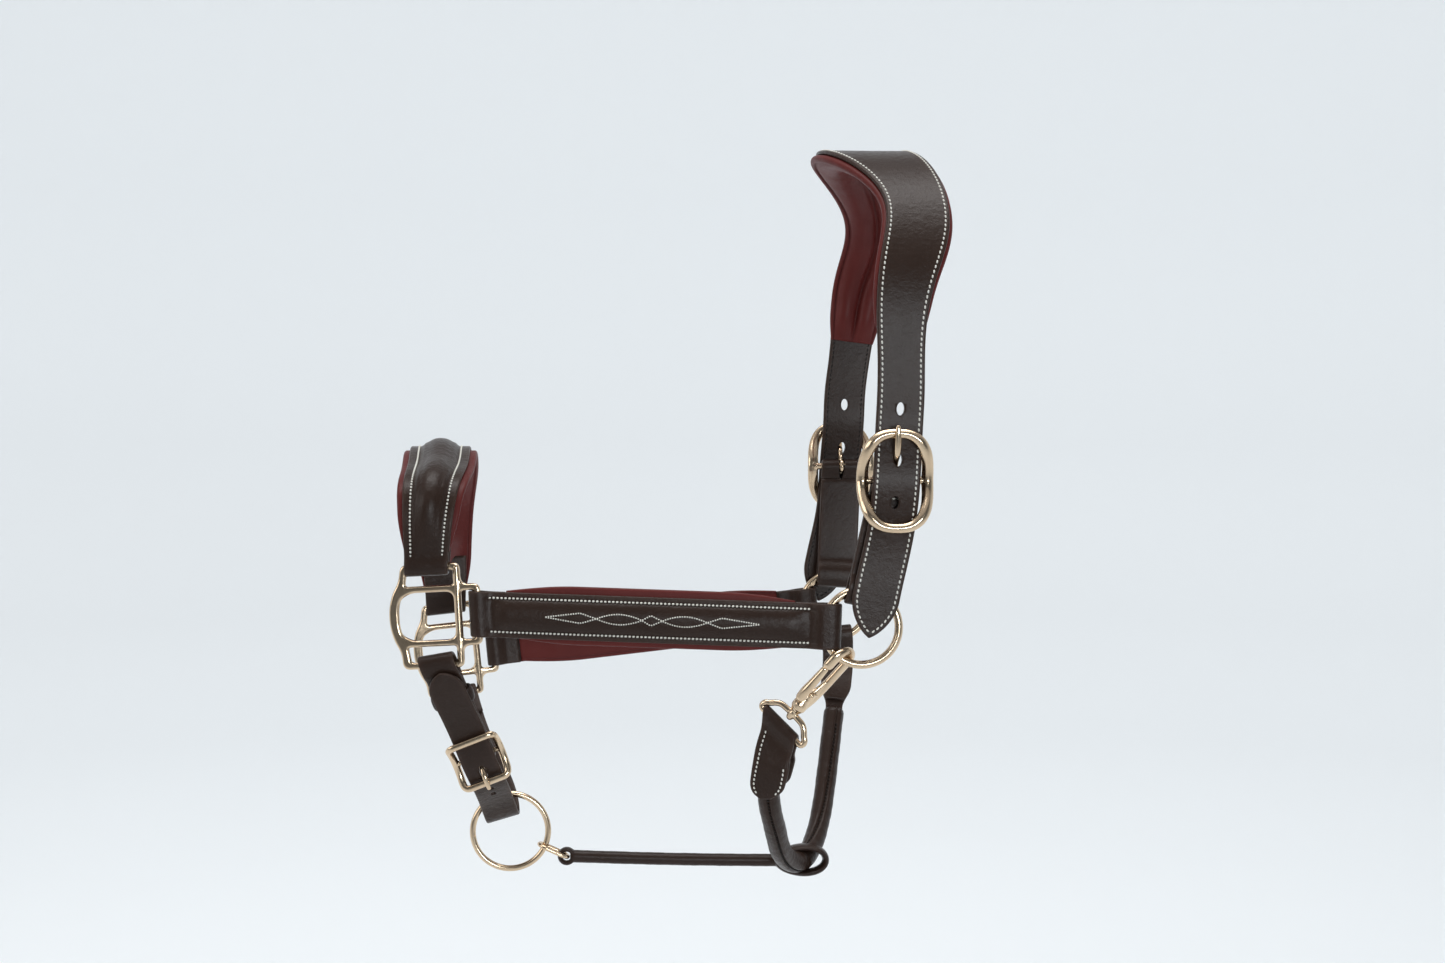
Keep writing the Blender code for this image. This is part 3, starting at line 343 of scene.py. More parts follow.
def crown_run():
    """From the near tip up the near leg, over the poll and down the off leg."""
    arch = ((0, 10.0, 13.9), (14, 14.0, 15.7), (28, 19.5, 16.8), (40, 20.0, 16.9), (56, 14.5, 19.0), (72, 6.0, 22.6))
    legs = []
    for side in (NEAR, OFF):
        bx, _, bz = BUCKLE[side]
        leg = [(bx - 13.5, 89.5, bz - 81.5), (bx - 8.5, 89.6, bz - 55), (bx - 2.5, 90.6, bz - 27), (bx, 94.2, bz),
               (bx + 1.8, 90.9, bz + 27), (bx + 2.6, 91.2, bz + 44), (9.2 + (bx - BUCKLE[NEAR][0]) / 2, 91.8, -104)]
        rows = [(x, side * y, z, CROWN_WIDTH / 2) for x, y, z in leg]
        for degrees, x, half in arch:
            t = math.radians(degrees)
            rows.append((x, side * HEAD_HALF * math.cos(t), ARCH_FOOT + ARCH_RISE * math.sin(t), half))
        legs.append(rows)
    poll = (0.5, 0.0, ARCH_FOOT + ARCH_RISE, POLL_WIDTH / 2)
    return Run(legs[0] + [poll] + legs[1][::-1], (1, 0, 0), [(0, 0, -150)])


crown = crown_run()


def pointed(u):
    """The width of the billets' pointed ends."""
    x = np.clip((np.minimum(u, crown.length - u) + 1.4) / TIP_LENGTH, 0, 1)
    return np.maximum(0.03, (1 - (1 - x) ** 2) ** 0.8)


def finished(obj):
    """The mesh that an object's modifiers leave."""
    bpy.context.view_layer.update()
    return bpy.data.meshes.new_from_object(obj.evaluated_get(bpy.context.evaluated_depsgraph_get()))


def punched(obj, run, holes, depth=10.0):
    """Cuts oval holes through a strap, each (length along, out, width, length)."""
    for u, n, wide, long in holes:
        bpy.ops.mesh.primitive_cylinder_add(vertices=32, radius=1.0, depth=1.0)
        punch = bpy.context.object
        middle, along, out = run.place(u, 0, n), unit(run.pick(run.along, u)), unit(run.pick(run.normal, u))
        side = np.cross(along, out)
        for vert in punch.data.vertices:
            x, y, z = vert.co
            vert.co = (middle + side * x * wide / 2 + along * y * long / 2 + out * z * depth) * MM
        hole = obj.modifiers.new("hole", "BOOLEAN")
        hole.object, hole.solver = punch, "EXACT"
        cut = finished(obj)
        obj.modifiers.remove(hole)
        obj.data = cut
        bpy.data.objects.remove(punch)


u = np.linspace(-TIP_ROUND, crown.length + TIP_ROUND, 520)
crown_skin = strap_shell(crown, np.stack([u[::-1], np.zeros(len(u))], axis=1), CROWN_THICK, 15, pointed,
                         spacing=0.9, ease=0)
crown_strap = piece("crown_strap_leather", [crown_skin], brown, "headpiece", "crown_strap")
HOLE_WIDTH = 4.2
HOLES = ((37.4, 7.0), (11.2, 7.4), (-11.0, 7.0))
crown_holes = [(crown.at_height(BUCKLE[side][2] + up, side), 0.0, HOLE_WIDTH, length)
               for side in (NEAR, OFF) for up, length in HOLES]
punched(crown_strap, crown, crown_holes)


def edge_seam(half, start, stop, inset, out):
    """A row of stitching a set distance in from each edge, closing round the pointed ends."""
    u = np.linspace(start, stop, 1600)
    edge = np.stack([u, half(u)], axis=1)
    along = unit(np.gradient(edge, axis=0))
    row = edge + np.stack([along[:, 1], -along[:, 0]], axis=1) * inset
    row = row[row[:, 1] > 0.25]
    return [np.stack([row[:, 0], side * row[:, 1], np.full(len(row), out)], axis=1) for side in (-1, 1)]


def crown_half(u):
    """Half the crown's width, with its pointed ends."""
    return crown.half(u) * pointed(u)


SEAM_INSET = 2.4
for word, out, yarn in (("outside", CROWN_THICK / 2, thread), ("inside", -CROWN_THICK / 2, dark_thread)):
    seams = edge_seam(crown_half, -1.2, crown.length + 1.2, SEAM_INSET, out)
    stitches("crown_stitches_" + word, crown, seams, "headpiece", yarn=yarn)

# ------------------------------------------------------------------ crown lining
# Burgundy lining leather is folded round foam and stitched under the crown, with a piped edge on
# each side and a channel down the middle that keeps the pad off the spine.

LINING_END = -92.0
burgundy = leather("burgundy_lining", (0.088, 0.012, 0.010), (0.130, 0.020, 0.017), (0.12, 0.022, 0.02),
                   grain=1500.0, depth=0.22, roughness=(0.42, 0.58), coat=0.08)


PUCKER = 0.35


def pad_shell(run, start, stop, out, depth, spread, hump, piping=1.5, shift=0.0, fade=22.0, seed=1.0):
    """A padded lining against the strap's back: flat above, piped at its edges and full below."""
    u = np.linspace(start, stop, int((stop - start) / 1.3))
    full = np.sin(np.clip(np.minimum(u - start, stop - u) / fade, 0, 1) * math.pi / 2)
    half = run.half(u) * (1.0 + (spread - 1.0) * full)
    pipe = piping * (0.55 + 0.45 * full)
    rings = []
    above, below = np.linspace(-1, 1, 7), np.linspace(1, -1, 29)
    round_pipe = np.radians(np.linspace(80, -95, 8))
    for i in range(len(u)):
        h, p = half[i], pipe[i]
        top = [(c * (h - p), 0.0) for c in above]
        right = [(h - p + p * math.cos(a), -p + p * math.sin(a)) for a in round_pipe]
        left = [(-x, n) for x, n in reversed(right)]
        inner = h - p * 1.25
        under = []
        for c in below:
            body = (0.25 + 0.75 * full[i]) * depth * hump(c)
            pull = abs(math.cos(math.pi * (u[i] + 1.1 * c) / STITCH_LENGTH))
            drawn = PUCKER * pull * math.exp(-(1 - abs(c)) * inner / 1.6)
            under.append((c * inner, -2 * p * 0.8 - body + drawn))
        ring = np.array(top + right + under + left)
        rings.append(run.place(u[i], ring[:, 0] + shift, out + ring[:, 1]))
    rings = np.array(rings)
    soft = np.array([[noise.noise(Vector(p * 0.09) + Vector((seed, 0, 0))) for p in ring] for ring in rings])
    normals = unit(run.pick(run.normal, u))[:, None, :]
    weight = np.zeros(rings.shape[1])
    first = len(above) + len(round_pipe)
    weight[first:first + len(below)] = 0.7 * np.sin(np.linspace(0, math.pi, len(below))) ** 0.5
    rings = rings + normals * (soft * weight)[..., None]
    return shell(rings)


def two_humps(c):
    """Fullness across a pad with a channel down its middle."""
    return abs(math.sin(math.pi * c)) ** 0.55


def one_hump(c):
    """Fullness across a plain pad."""
    return (1 - abs(c) ** 2.6) ** 0.8


start, stop = crown.at_height(LINING_END, NEAR), crown.at_height(LINING_END, OFF)
crown_pad = pad_shell(crown, start, stop, -CROWN_THICK / 2 - 0.1, 5.4, 1.12, two_humps, piping=2.1, fade=16.0)
piece("crown_pad", [crown_pad], burgundy, "headpiece", "crown_lining", "crown_foam_front", "crown_foam_rear",
      padded=0.75)

# ------------------------------------------------------------------ crown buckles
# Each billet is held by an oval centre-bar buckle, cast in brass with a crest round its frame and
# bowed clear of the strap. The tongue is bent round the bar and rests on the frame.


def round_ends(rings, points, along, reach, angles):
    """Adds rings that close both ends of a bar with a dome."""
    for end, way in ((0, -1), (-1, 1)):
        base, middle = rings[end], points[end]
        extra = [middle + (base - middle) * math.cos(a) + along[end] * way * reach[end] * math.sin(a)
                 for a in np.radians(angles)]
        rings = extra[::-1] + rings if end == 0 else rings + extra
    return rings


def sweep(points, wide, thick, up, closed=False, sides=16, crest=0.0):
    """A rounded bar along points, wide across and thick along up; both may change along it."""
    points = np.asarray(points, float)
    count = len(points)
    ahead = np.roll(points, -1, axis=0) - np.roll(points, 1, axis=0) if closed else np.gradient(points, axis=0)
    along = unit(ahead)
    up = np.broadcast_to(np.asarray(up, float), points.shape)
    up = unit(up - along * np.sum(up * along, axis=1, keepdims=True))
    across = np.cross(along, up)
    wide, thick = np.broadcast_to(wide, count), np.broadcast_to(thick, count)
    turn = np.linspace(0, 2 * math.pi, sides, endpoint=False)
    high = np.sin(turn) + crest * np.maximum(0, np.sin(turn)) ** 6
    rings = [points[i] + across[i] * (np.cos(turn) * wide[i] / 2)[:, None] + up[i] * (high * thick[i] / 2)[:, None]
             for i in range(count)]
    if not closed:
        reach = [min(wide[end], thick[end]) / 2 for end in (0, -1)]
        rings = round_ends(rings, points, along, reach, (30, 55, 75, 86))
    return shell(np.array(rings), closed)


def cast(name, shells, material, body, *nodes, voxel=0.42, smooth=5):
    """Several shapes poured as one casting, with small fillets where they meet."""
    obj = piece(name, shells, material, body, *nodes)
    weld = obj.modifiers.new("pour", "REMESH")
    weld.mode, weld.voxel_size, weld.use_smooth_shade = "VOXEL", voxel * MM, True
    polish = obj.modifiers.new("polish", "SMOOTH")
    polish.factor, polish.iterations = 0.5, smooth
    poured = finished(obj)
    obj.modifiers.clear()
    obj.data = poured
    obj.data.shade_smooth()
    return obj


def brass_material():
    """Cast and polished brass: warm pale gold, faintly uneven, with hairline scratches."""
    metal = Finish("brass", (0.72, 0.55, 0.38), 0.22, 1.0)
    metal.tones(metal.noise(90.0, 4.0), (0.68, 0.50, 0.335), (0.82, 0.65, 0.46))
    haze = metal.noise(600.0, 6.0, 0.7)
    metal.gloss(haze, 0.12, 0.3)
    wave = metal.relief(metal.noise(210.0, 2.0), 0.08, 0.0005)
    metal.relief(haze, 0.08, 0.0001, wave)
    return metal.material


brass = brass_material()
BUCKLE_HALF = (17.3, 24.8)
BUCKLE_BOW = 8.0
BUCKLE_BAR = 1.9
BAR_REACH = 16.0
for word, side in SIDES:
    x, y, z = BUCKLE[side]
    turn = np.linspace(0, 2 * math.pi, 120, endpoint=False)
    c, s = np.cos(turn), np.sin(turn)
    dx = BUCKLE_HALF[0] * np.copysign(abs(c) ** 0.76, c)
    dz = BUCKLE_HALF[1] * np.copysign(abs(s) ** 0.76, s)
    rise = (1 - np.cos(math.pi * np.minimum(abs(dz) / 22.0, 1.0))) / 2
    loop = np.stack([x + dx, y + side * (0.3 + BUCKLE_BOW * rise), z + dz], axis=1)
    frame_bar = sweep(loop, 6.5 - 1.1 * abs(s) ** 3, 3.6, (0, side, 0), closed=True, crest=0.3)
    centre_bar = sweep([(x - BAR_REACH, y, z), (x, y, z), (x + BAR_REACH, y, z)], 2 * BUCKLE_BAR, 2 * BUCKLE_BAR,
                       (0, 1, 0))
    cast(word + "_crown_buckle_brass", [frame_bar, centre_bar], brass, "headpiece", word + "_crown_buckle")
    wrap = BUCKLE_BAR + 1.5
    curl = [(x, y + side * (wrap * math.cos(a) - 0.12), z + wrap * math.sin(a))
            for a in np.radians(np.linspace(-235, 20, 15))]
    shank = [(x, y + side * out, z + up) for out, up in
             ((3.1, 3.4), (3.0, 6.6), (4.0, 9.4), (7.4, 12.6), (10.2, 16.6), (11.5, 21.0), (12.0, 25.0), (11.9, 28.2))]
    rows, share = smooth_path(curl + shank, 60), np.linspace(0, 1, 60)
    tongue = sweep(rows, 2.3 + 1.0 * np.sin(math.pi * np.clip((share - 0.45) / 0.6, 0, 1)), 2.2 - 0.5 * share,
                   (0, side, 0.02), sides=14)
    piece(word + "_crown_tongue_brass", [tongue], brass, word + "_tongue", word + "_crown_tongue")

# ------------------------------------------------------------------ cheek straps
# A short strap on each side, turned back on itself round the buckle's bar above and the side ring
# below, glued and stitched across below the bar. A slot at the fold lets the tongue through.

RING = {NEAR: (-10.0, -82.0, -249.0), OFF: (-2.8, 82.0, -253.1)}
RING_RADIUS = 19.8
RING_WIRE = 2.2
RING_ROUND = 2.9
FOLD_THICK = 2.0
CHEEK_WIDTH = 24.4
GAP = 0.35
ring_axis = unit(np.array(RING[OFF]) - np.array(RING[NEAR]))


def ring_hold(side, towards, half):
    """Where a strap of some half width grips the side ring, and how far the ring bows past its edges."""
    centre = np.array(RING[side])
    radial = np.array(towards, float) - centre
    radial = unit(radial - ring_axis * radial.dot(ring_axis))
    hold = math.sqrt(RING_RADIUS ** 2 - half ** 2)
    return centre + radial * hold, RING_RADIUS - hold + RING_WIRE


def bend(centre, radius, start, stop, count=13):
    """Points round a bar that lies across the strap, from one angle to another in degrees."""
    angles = np.radians(np.linspace(start, stop, count))
    return [(centre + radius * math.cos(a), radius * math.sin(a)) for a in angles]


def folded(first, last, thick, tails, slack=(0.0, 0.0), layer=None, inner=None):
    """A strap turned back round a bar at each end; bars are (length along, radius)."""
    layer = (thick + 0.1) / 2 if layer is None else layer
    inner = -layer if inner is None else inner
    (ua, ra), (ub, rb) = first, last
    wide_a, wide_b = ra + GAP + thick / 2, rb + GAP + thick / 2
    ease = 5.0
    path = [(ub - slack[1] - tails[1], inner), (ub - slack[1] - ease, inner), (ub - slack[1], -wide_b)]
    path += bend(ub, wide_b, -75, 75)
    path += [(ub - slack[1], wide_b), (ub - slack[1] - ease, layer)]
    path += [(ua + slack[0] + ease, layer), (ua + slack[0], wide_a)]
    path += bend(ua, wide_a, 105, 255)
    path += [(ua + slack[0], -wide_a), (ua + slack[0] + ease, inner), (ua + slack[0] + tails[0], inner)]
    return path


for word, side in SIDES:
    bar, half = np.array(BUCKLE[side]), CHEEK_WIDTH / 2 - 0.2
    foot, bow = ring_hold(side, bar, half)
    down, length = unit(foot - bar), np.linalg.norm(foot - bar)
    square = unit(np.array((1.0, 0, 0)) - down * down[0])
    cheek = Run([(*(bar + down * s), half) for s in (0, length / 2, length)], [(1, 0, 0), square, square],
                (0, side, 0), slanted=True)
    meet = (length - 0.8 - bow) / 2 - 0.1
    path = folded((0, BUCKLE_BAR + 0.1), (length, RING_ROUND), FOLD_THICK, (7.0, 2 * meet - 7.0), slack=(0.8, bow))
    strap = piece(word + "_cheek_strap_leather", [strap_shell(cheek, path, FOLD_THICK)], brown, "headpiece",
                  word + "_cheek_strap")
    punched(strap, cheek, [(-1.0, 0.0, 3.4, 18.0)], 14.0)
    rows = [[(u, x, 2.1) for x in np.linspace(-8.6, 8.6, 20)] for u in (9.5, length - bow - 9.5)]
    stitches(word + "_cheek_strap_stitches", cheek, rows, "headpiece")

# ------------------------------------------------------------------ side rings
# Two plain round rings of 4.4 mm brass wire join the cheek strap, cheekpiece and throatlash.


def wire_ring(name, centre, axis, radius, wire, body, node):
    """A brazed ring of round wire."""
    side = unit(np.cross(axis, (0.3, 0.2, 0.9)))
    other = np.cross(axis, side)
    turn = np.linspace(0, 2 * math.pi, 128, endpoint=False)
    points = np.array(centre) + (np.outer(np.cos(turn), side) + np.outer(np.sin(turn), other)) * radius
    return piece(name, [sweep(points, 2 * wire, 2 * wire, axis, closed=True, sides=24)], brass, body, node)


for word, side in SIDES:
    wire_ring(word + "_side_ring_brass", RING[side], ring_axis, RING_RADIUS, RING_WIRE, word + "_ring",
              word + "_side_ring")

# ------------------------------------------------------------------ square fittings
# A square brass casting on each side of the nose holds the noseband, cheekpiece and chin strap in
# three slots round a D-shaped opening. Its bars are slender and rounded, and its front edge is fuller.

FITTING = {NEAR: (-235.4, -63.0, -243.2), OFF: (-232.5, 64.0, -276.0)}
FITTING_TILT = {NEAR: 3.0, OFF: 5.5}
FITTING_YAW = 6.0
FITTING_THICK = 3.6
POST_AT, POST_HALF, POST_THICK = 12.7, 25.6, 3.4


def fitting_axes(side):
    """Rearward, upward and outward directions of a fitting."""
    tilt, yaw = math.radians(FITTING_TILT[side]), math.radians(FITTING_YAW)
    rear = unit((math.cos(tilt) * math.cos(yaw), side * math.sin(yaw), math.sin(tilt) * math.cos(yaw)))
    up = unit(np.array((0, 0, 1.0)) - rear * rear[2])
    return rear, up, np.cross(rear, up)


def on_fitting(side, a, b, c=0.0):
    """A point on a fitting: a rearward, b upward and c outward of its middle."""
    rear, up, out = fitting_axes(side)
    return np.array(FITTING[side]) + rear * a + up * b + out * c


def rounded(corners, radius, steps=6):
    """The outline through corners with each one rounded."""
    outline = []
    for i, corner in enumerate(corners):
        corner = np.array(corner, float)
        before = np.array(corners[i - 1], float) - corner
        after = np.array(corners[(i + 1) % len(corners)], float) - corner
        reach = min(radius, np.linalg.norm(before) * 0.45, np.linalg.norm(after) * 0.45)
        a, b = corner + unit(before) * reach, corner + unit(after) * reach
        outline += [(1 - t) ** 2 * a + 2 * t * (1 - t) * corner + t ** 2 * b for t in np.linspace(0, 1, steps)]
    return outline


def cast_plate(outlines, thick, soft):
    """The points and faces of a flat casting with rounded edges, from its outline and its openings."""
    curve = bpy.data.curves.new("plate", "CURVE")
    curve.dimensions, curve.fill_mode = "2D", "BOTH"
    curve.bevel_depth, curve.bevel_resolution, curve.offset = soft, 4, -soft
    curve.extrude = thick / 2 - soft
    for outline in outlines:
        line = curve.splines.new("POLY")
        line.points.add(len(outline) - 1)
        line.points.foreach_set("co", [c for x, y in outline for c in (x, y, 0, 1)])
        line.use_cyclic_u = True
    obj = bpy.data.objects.new("plate", curve)
    bpy.context.scene.collection.objects.link(obj)
    merge = bmesh.new()
    merge.from_mesh(finished(obj))
    bmesh.ops.remove_doubles(merge, verts=merge.verts, dist=0.001)
    points = np.array([v.co for v in merge.verts])
    faces = [tuple(v.index for v in face.verts) for face in merge.faces]
    merge.free()
    bpy.data.objects.remove(obj)
    return points, faces


edge = rounded([(-17.0, 28.0), (14.6, 28.0), (14.6, 16.4), (24.9, 16.4), (24.9, -16.4), (14.6, -16.4), (14.6, -28.0),
                (-18.2, -28.0), (-18.8, -19.0), (-22.2, -12.5), (-24.3, -4.5), (-24.3, 4.5), (-22.2, 12.5),
                (-18.4, 19.0)], 4.0, 7)
window = rounded([(10.7, 12.7), (10.7, -12.7), (-12.0, -12.7), (-17.8, -9.6), (-19.0, -4.0), (-19.0, 4.0),
                  (-17.8, 9.6), (-12.0, 12.7)], 4.5, 7)
noseband_slot = rounded([(-13.6, 24.4), (10.8, 24.4), (10.8, 16.2), (-15.0, 16.2)], 1.6, 7)
chin_slot = [(x, -y) for x, y in noseband_slot]
cheek_slot = rounded([(14.6, 12.9), (21.4, 12.9), (21.4, -12.9), (14.6, -12.9)], 1.8, 7)
for word, side in SIDES:
    points, faces = cast_plate([edge, window, noseband_slot, chin_slot, cheek_slot], FITTING_THICK, 1.3)
    out = fitting_axes(side)[2]
    plate = np.array([on_fitting(side, a, b, c) for a, b, c in points])
    post = [on_fitting(side, POST_AT, b, 0.5) for b in np.linspace(POST_HALF, -POST_HALF, 40)]
    cast(word + "_fitting_brass", [(plate, faces), sweep(post, POST_THICK, POST_THICK, out)], brass, "nose_frame",
         word + "_fitting", voxel=0.36, smooth=2)

# ------------------------------------------------------------------ cheekpieces
# The cheekpieces are turned round the fitting's rear bar and round the side ring. A cord filler
# raises the middle between two rows of stitching, and a pattern of kites and a diamond is sewn in
# fine thread along it. A padded burgundy lining is stitched behind.


def raised(c, height):
    """Height of the raised middle across a strap."""
    return height * np.clip(1 - (abs(c) / 0.74) ** 2.2, 0, 1) ** 0.9


def smooth_step(x):
    """From 0 to 1 with soft ends."""
    x = np.clip(x, 0, 1)
    return x * x * (3 - 2 * x)


def kite(s, peak):
    """Two straight sides that meet at the peak."""
    return np.where(s < peak, s / peak, (1 - s) / (1 - peak))


def lens(s, peak):
    """One round side."""
    return np.sin(math.pi * s) ** 0.9


BAR_ROUND = 2.75
CHEEK_RISE = 2.6
CHEEK_PITCH, CHEEK_THREAD = 2.1, 0.46
FANCY_START, FANCY_HALF = 35.7, 2.7
FANCY_PITCH, FANCY_THREAD = 1.3, 0.34
PATTERN = ((0.0, 27.2, kite, 0.69), (27.2, 51.2, lens, 0.5), (51.2, 62.0, kite, 0.45), (62.0, 85.8, lens, 0.5),
           (85.8, 113.5, kite, 0.28))
for word, side in SIDES:
    bar, half = on_fitting(side, 23.2, 0), CHEEK_WIDTH / 2
    hold, bow = ring_hold(side, bar, half)
    back, length = unit(hold - bar), np.linalg.norm(hold - bar)
    square = unit(np.array((0, 0, 1.0)) - back * back[2])
    up = fitting_axes(side)[1]
    cheekpiece = Run([(*(bar + back * s), half) for s in (0, length / 2, length)], [up, square, square], (0, side, 0),
                     slanted=True)
    slack, tails = (1.6, bow), (13.0, 13.0)
    path = folded((0, BAR_ROUND), (length, RING_ROUND), FOLD_THICK, tails, slack)

    def rise(u, length=length):
        return smooth_step(np.minimum((u - 4.0) / 12.0, (length - 9.0 - u) / 14.0))

    def lift(c, u, n):
        seam = 0.34 * np.exp(-((abs(c) - 0.76) / 0.045) ** 2)
        return (raised(c, CHEEK_RISE) * rise(u) - seam * (rise(u) > 0)) * (n > 0)

    skin = strap_shell(cheekpiece, path, FOLD_THICK, 41, lift=lift)
    piece(word + "_cheekpiece_leather", [skin], brown, "nose_frame", word + "_cheekpiece", word + "_cheek_filler")
    face = 1.05 + FOLD_THICK / 2
    seams = [[(u, x, face + 0.02) for u in np.linspace(5.6, 176.0, 200)] for x in (-9.0, 9.0)]
    stitches(word + "_cheekpiece_stitches", cheekpiece, seams, "nose_frame", pitch=CHEEK_PITCH, radius=CHEEK_THREAD)
    fancy = []
    for begin, end, shape, peak in PATTERN:
        s = np.linspace(0.0, 1.0, 60)
        for hand in (-1, 1):
            x = hand * FANCY_HALF * shape(s, peak)
            u = FANCY_START + begin + s * (end - begin)
            fancy.append(np.stack([u, x, face - 0.02 + raised(x / half, CHEEK_RISE)], axis=1))
    stitches(word + "_cheekpiece_fancy", cheekpiece, fancy, "nose_frame", pitch=FANCY_PITCH, radius=FANCY_THREAD,
             slant=0.0)
    begin, end = slack[0] + tails[0] + 0.6, length - slack[1] - tails[1] - 0.6
    pad = pad_shell(cheekpiece, begin, end, 0.0, 2.6, 1.28, one_hump, shift=0.6, fade=38.0, seed=3.0 + side)
    piece(word + "_cheek_pad", [pad], burgundy, "nose_frame", word + "_cheek_lining", word + "_cheek_foam", padded=0.8)

# ------------------------------------------------------------------ noseband
# The noseband is wider over the nose and strongly raised along its middle, over a rope filler. It is
# turned back round the top bar of each fitting, and a wide burgundy pad is stitched inside it.

NOSE_TOP = (-236.0, 0.0, -156.5)


def nose_run():
    """From the near fitting's top bar over the nose to the off one's."""
    near, off, top = on_fitting(NEAR, -2.8, 26.2), on_fitting(OFF, -2.8, 26.2), np.array(NOSE_TOP)
    rows = [(*near, 11.6), (near[0] + 0.6, near[1] - 3.0, near[2] + 20, 12.8),
            (near[0] + 2.0, near[1] + 1.5, near[2] + 40, 14.6), (top[0] + 0.5, top[1] - 34, top[2] - 8.5, 16.2),
            (*top, 16.6), (top[0] - 0.5, top[1] + 34, top[2] - 11.0, 16.2),
            (off[0] - 1.0, off[1] - 1.0, off[2] + 58, 14.6), (off[0] - 0.6, off[1] + 2.5, off[2] + 28, 12.8),
            (*off, 11.6)]
    across = [fitting_axes(NEAR)[0]] + [(1, 0, 0)] * 5 + [fitting_axes(OFF)[0]]
    return Run(rows, across, [(top[0], 0, top[2] - 80)], slanted=True)


nose = nose_run()
path = folded((0, BAR_ROUND), (nose.length, BAR_ROUND), FOLD_THICK, (28, 28), (1.6, 1.6), layer=1.3, inner=-5.2)


def nose_rise(u):
    """How far the filler has come up at length u, from 0 at the bars to 1."""
    return np.clip(np.minimum(u - 7.0, nose.length - 7.0 - u) / 26.0, 0, 1)


def nose_lift(c, u, n):
    """Height of the outer layer over the filler, with a shallow channel under each seam."""
    seam = 0.3 * np.exp(-((abs(c) - 0.7) / 0.035) ** 2) * (nose_rise(u) > 0.02)
    ridge = np.clip(1 - (abs(c) / 0.6) ** 2.3, 0, 1) ** 1.1
    side = 0.8 * np.exp(-((abs(c) - 0.55) / 0.09) ** 2)
    return (nose_rise(u) * (4.6 * ridge + side) - seam) * (n > 0)


skin = strap_shell(nose, path, FOLD_THICK, 45, lift=nose_lift, spacing=1.3)
piece("noseband_leather", [skin], brown, "nose_frame", "noseband_strap", "noseband_filler")
u = np.linspace(6.0, nose.length - 6.0, 300)
seams = [np.stack([u, side * (nose.half(u) * 0.7), np.full(len(u), 2.2)], axis=1) for side in (-1, 1)]
stitches("noseband_stitches", nose, seams, "nose_frame", pitch=CHEEK_PITCH, radius=CHEEK_THREAD)
pad = pad_shell(nose, 8.0, nose.length - 8.0, -0.1, 3.6, 1.22, one_hump, seed=7.0)
piece("noseband_pad", [pad], burgundy, "nose_frame", "noseband_lining", "noseband_foam", padded=0.8)

# ------------------------------------------------------------------ chin strap and its buckle
# A 19 mm strap hangs from the near fitting and carries a square buckle and a leather keeper. The
# long billet from the off fitting passes under the chin, through the ring and up through the buckle.

CHIN_WIDTH = 19.0
CHIN_THICK = 1.8
CHIN_BUCKLE = np.array((-214.0, -41.0, -322.0))
CHIN_ACROSS = (0.93, -0.06, 0.36)
CHIN_BEND = np.array((-202.0, 0.0, -364.0))
bar = on_fitting(NEAR, 0.6, -26.2)
down, chin_length = unit(CHIN_BUCKLE - bar), np.linalg.norm(CHIN_BUCKLE - bar)
along_bar = unit(fitting_axes(NEAR)[0] + 0.6 * unit(CHIN_ACROSS))
chin = Run([(*(bar + down * s), CHIN_WIDTH / 2) for s in (0, chin_length / 2, chin_length)],
           [along_bar, CHIN_ACROSS, CHIN_ACROSS], (0, -1, -0.5), slanted=True)
path = folded((-1.8, BAR_ROUND), (chin_length, 1.4), CHIN_THICK, (24, 26), (5.6, 0.8))
strap = piece("chin_strap_leather", [strap_shell(chin, path, CHIN_THICK)], brown, "nose_frame", "chin_strap")
punched(strap, chin, [(chin_length + 0.6, 0.0, 3.0, 12.0)], 12.0)
rows = [[(u, x, 1.9) for x in np.linspace(-reach, reach, 12)] for u, reach in ((13.4, 8.6), (chin_length - 9.0, 6.5))]
stitches("chin_strap_stitches", chin, rows, "nose_frame", pitch=2.4)


def on_chin(u, x, n):
    """A point on the chin buckle: u down the strap from its bar, x across and n out."""
    middle, along = chin.place(chin_length, 0, 0), chin.pick(chin.along, chin_length)
    across, out = chin.pick(chin.across, chin_length), chin.pick(chin.normal, chin_length)
    return middle + along * u + across * x + out * n


def rounded_square(wide, high, radius, spacing):
    """The outline of a square loop, given its half width and half height."""
    outline = rounded([(-wide, -high), (wide, -high), (wide, high), (-wide, high)], radius)
    return resampled(outline + outline[:1], spacing)[:-1]


wide, high = 13.0, 13.6
CHIN_BOW = 6.6
loop = [on_chin(u, x, CHIN_BOW * (u / high) ** 2) for x, u in rounded_square(wide, high, 3.4, 0.9)]
out = chin.pick(chin.normal, chin_length)
frame_bar = sweep(loop, 4.1, 2.9, out, closed=True, crest=0.15)
centre_bar = sweep([on_chin(0, -wide, 0), on_chin(0, 0, 0), on_chin(0, wide, 0)], 2.6, 2.6, out)
cast("chin_buckle_brass", [frame_bar, centre_bar], brass, "nose_frame", "chin_buckle", voxel=0.36, smooth=4)
wrap = 1.3 + GAP + 0.95
curl = [on_chin(-wrap * math.sin(a), 0, wrap * math.cos(a)) for a in np.radians(np.linspace(235, -30, 15))]
shank = [on_chin(u, 0, n) for u, n in ((4.0, 3.2), (6.4, 5.4), (9.0, 7.6), (11.5, 8.6), (13.6, 8.9), (16.4, 8.8))]
rows, share = smooth_path(curl + shank, 50), np.linspace(0, 1, 50)
tongue = sweep(rows, 1.9 + 0.8 * np.sin(math.pi * np.clip((share - 0.4) / 0.7, 0, 1)), 1.9 - 0.4 * share, out,
               sides=12)
piece("chin_tongue_brass", [tongue], brass, "chin_buckle_tongue", "chin_tongue")


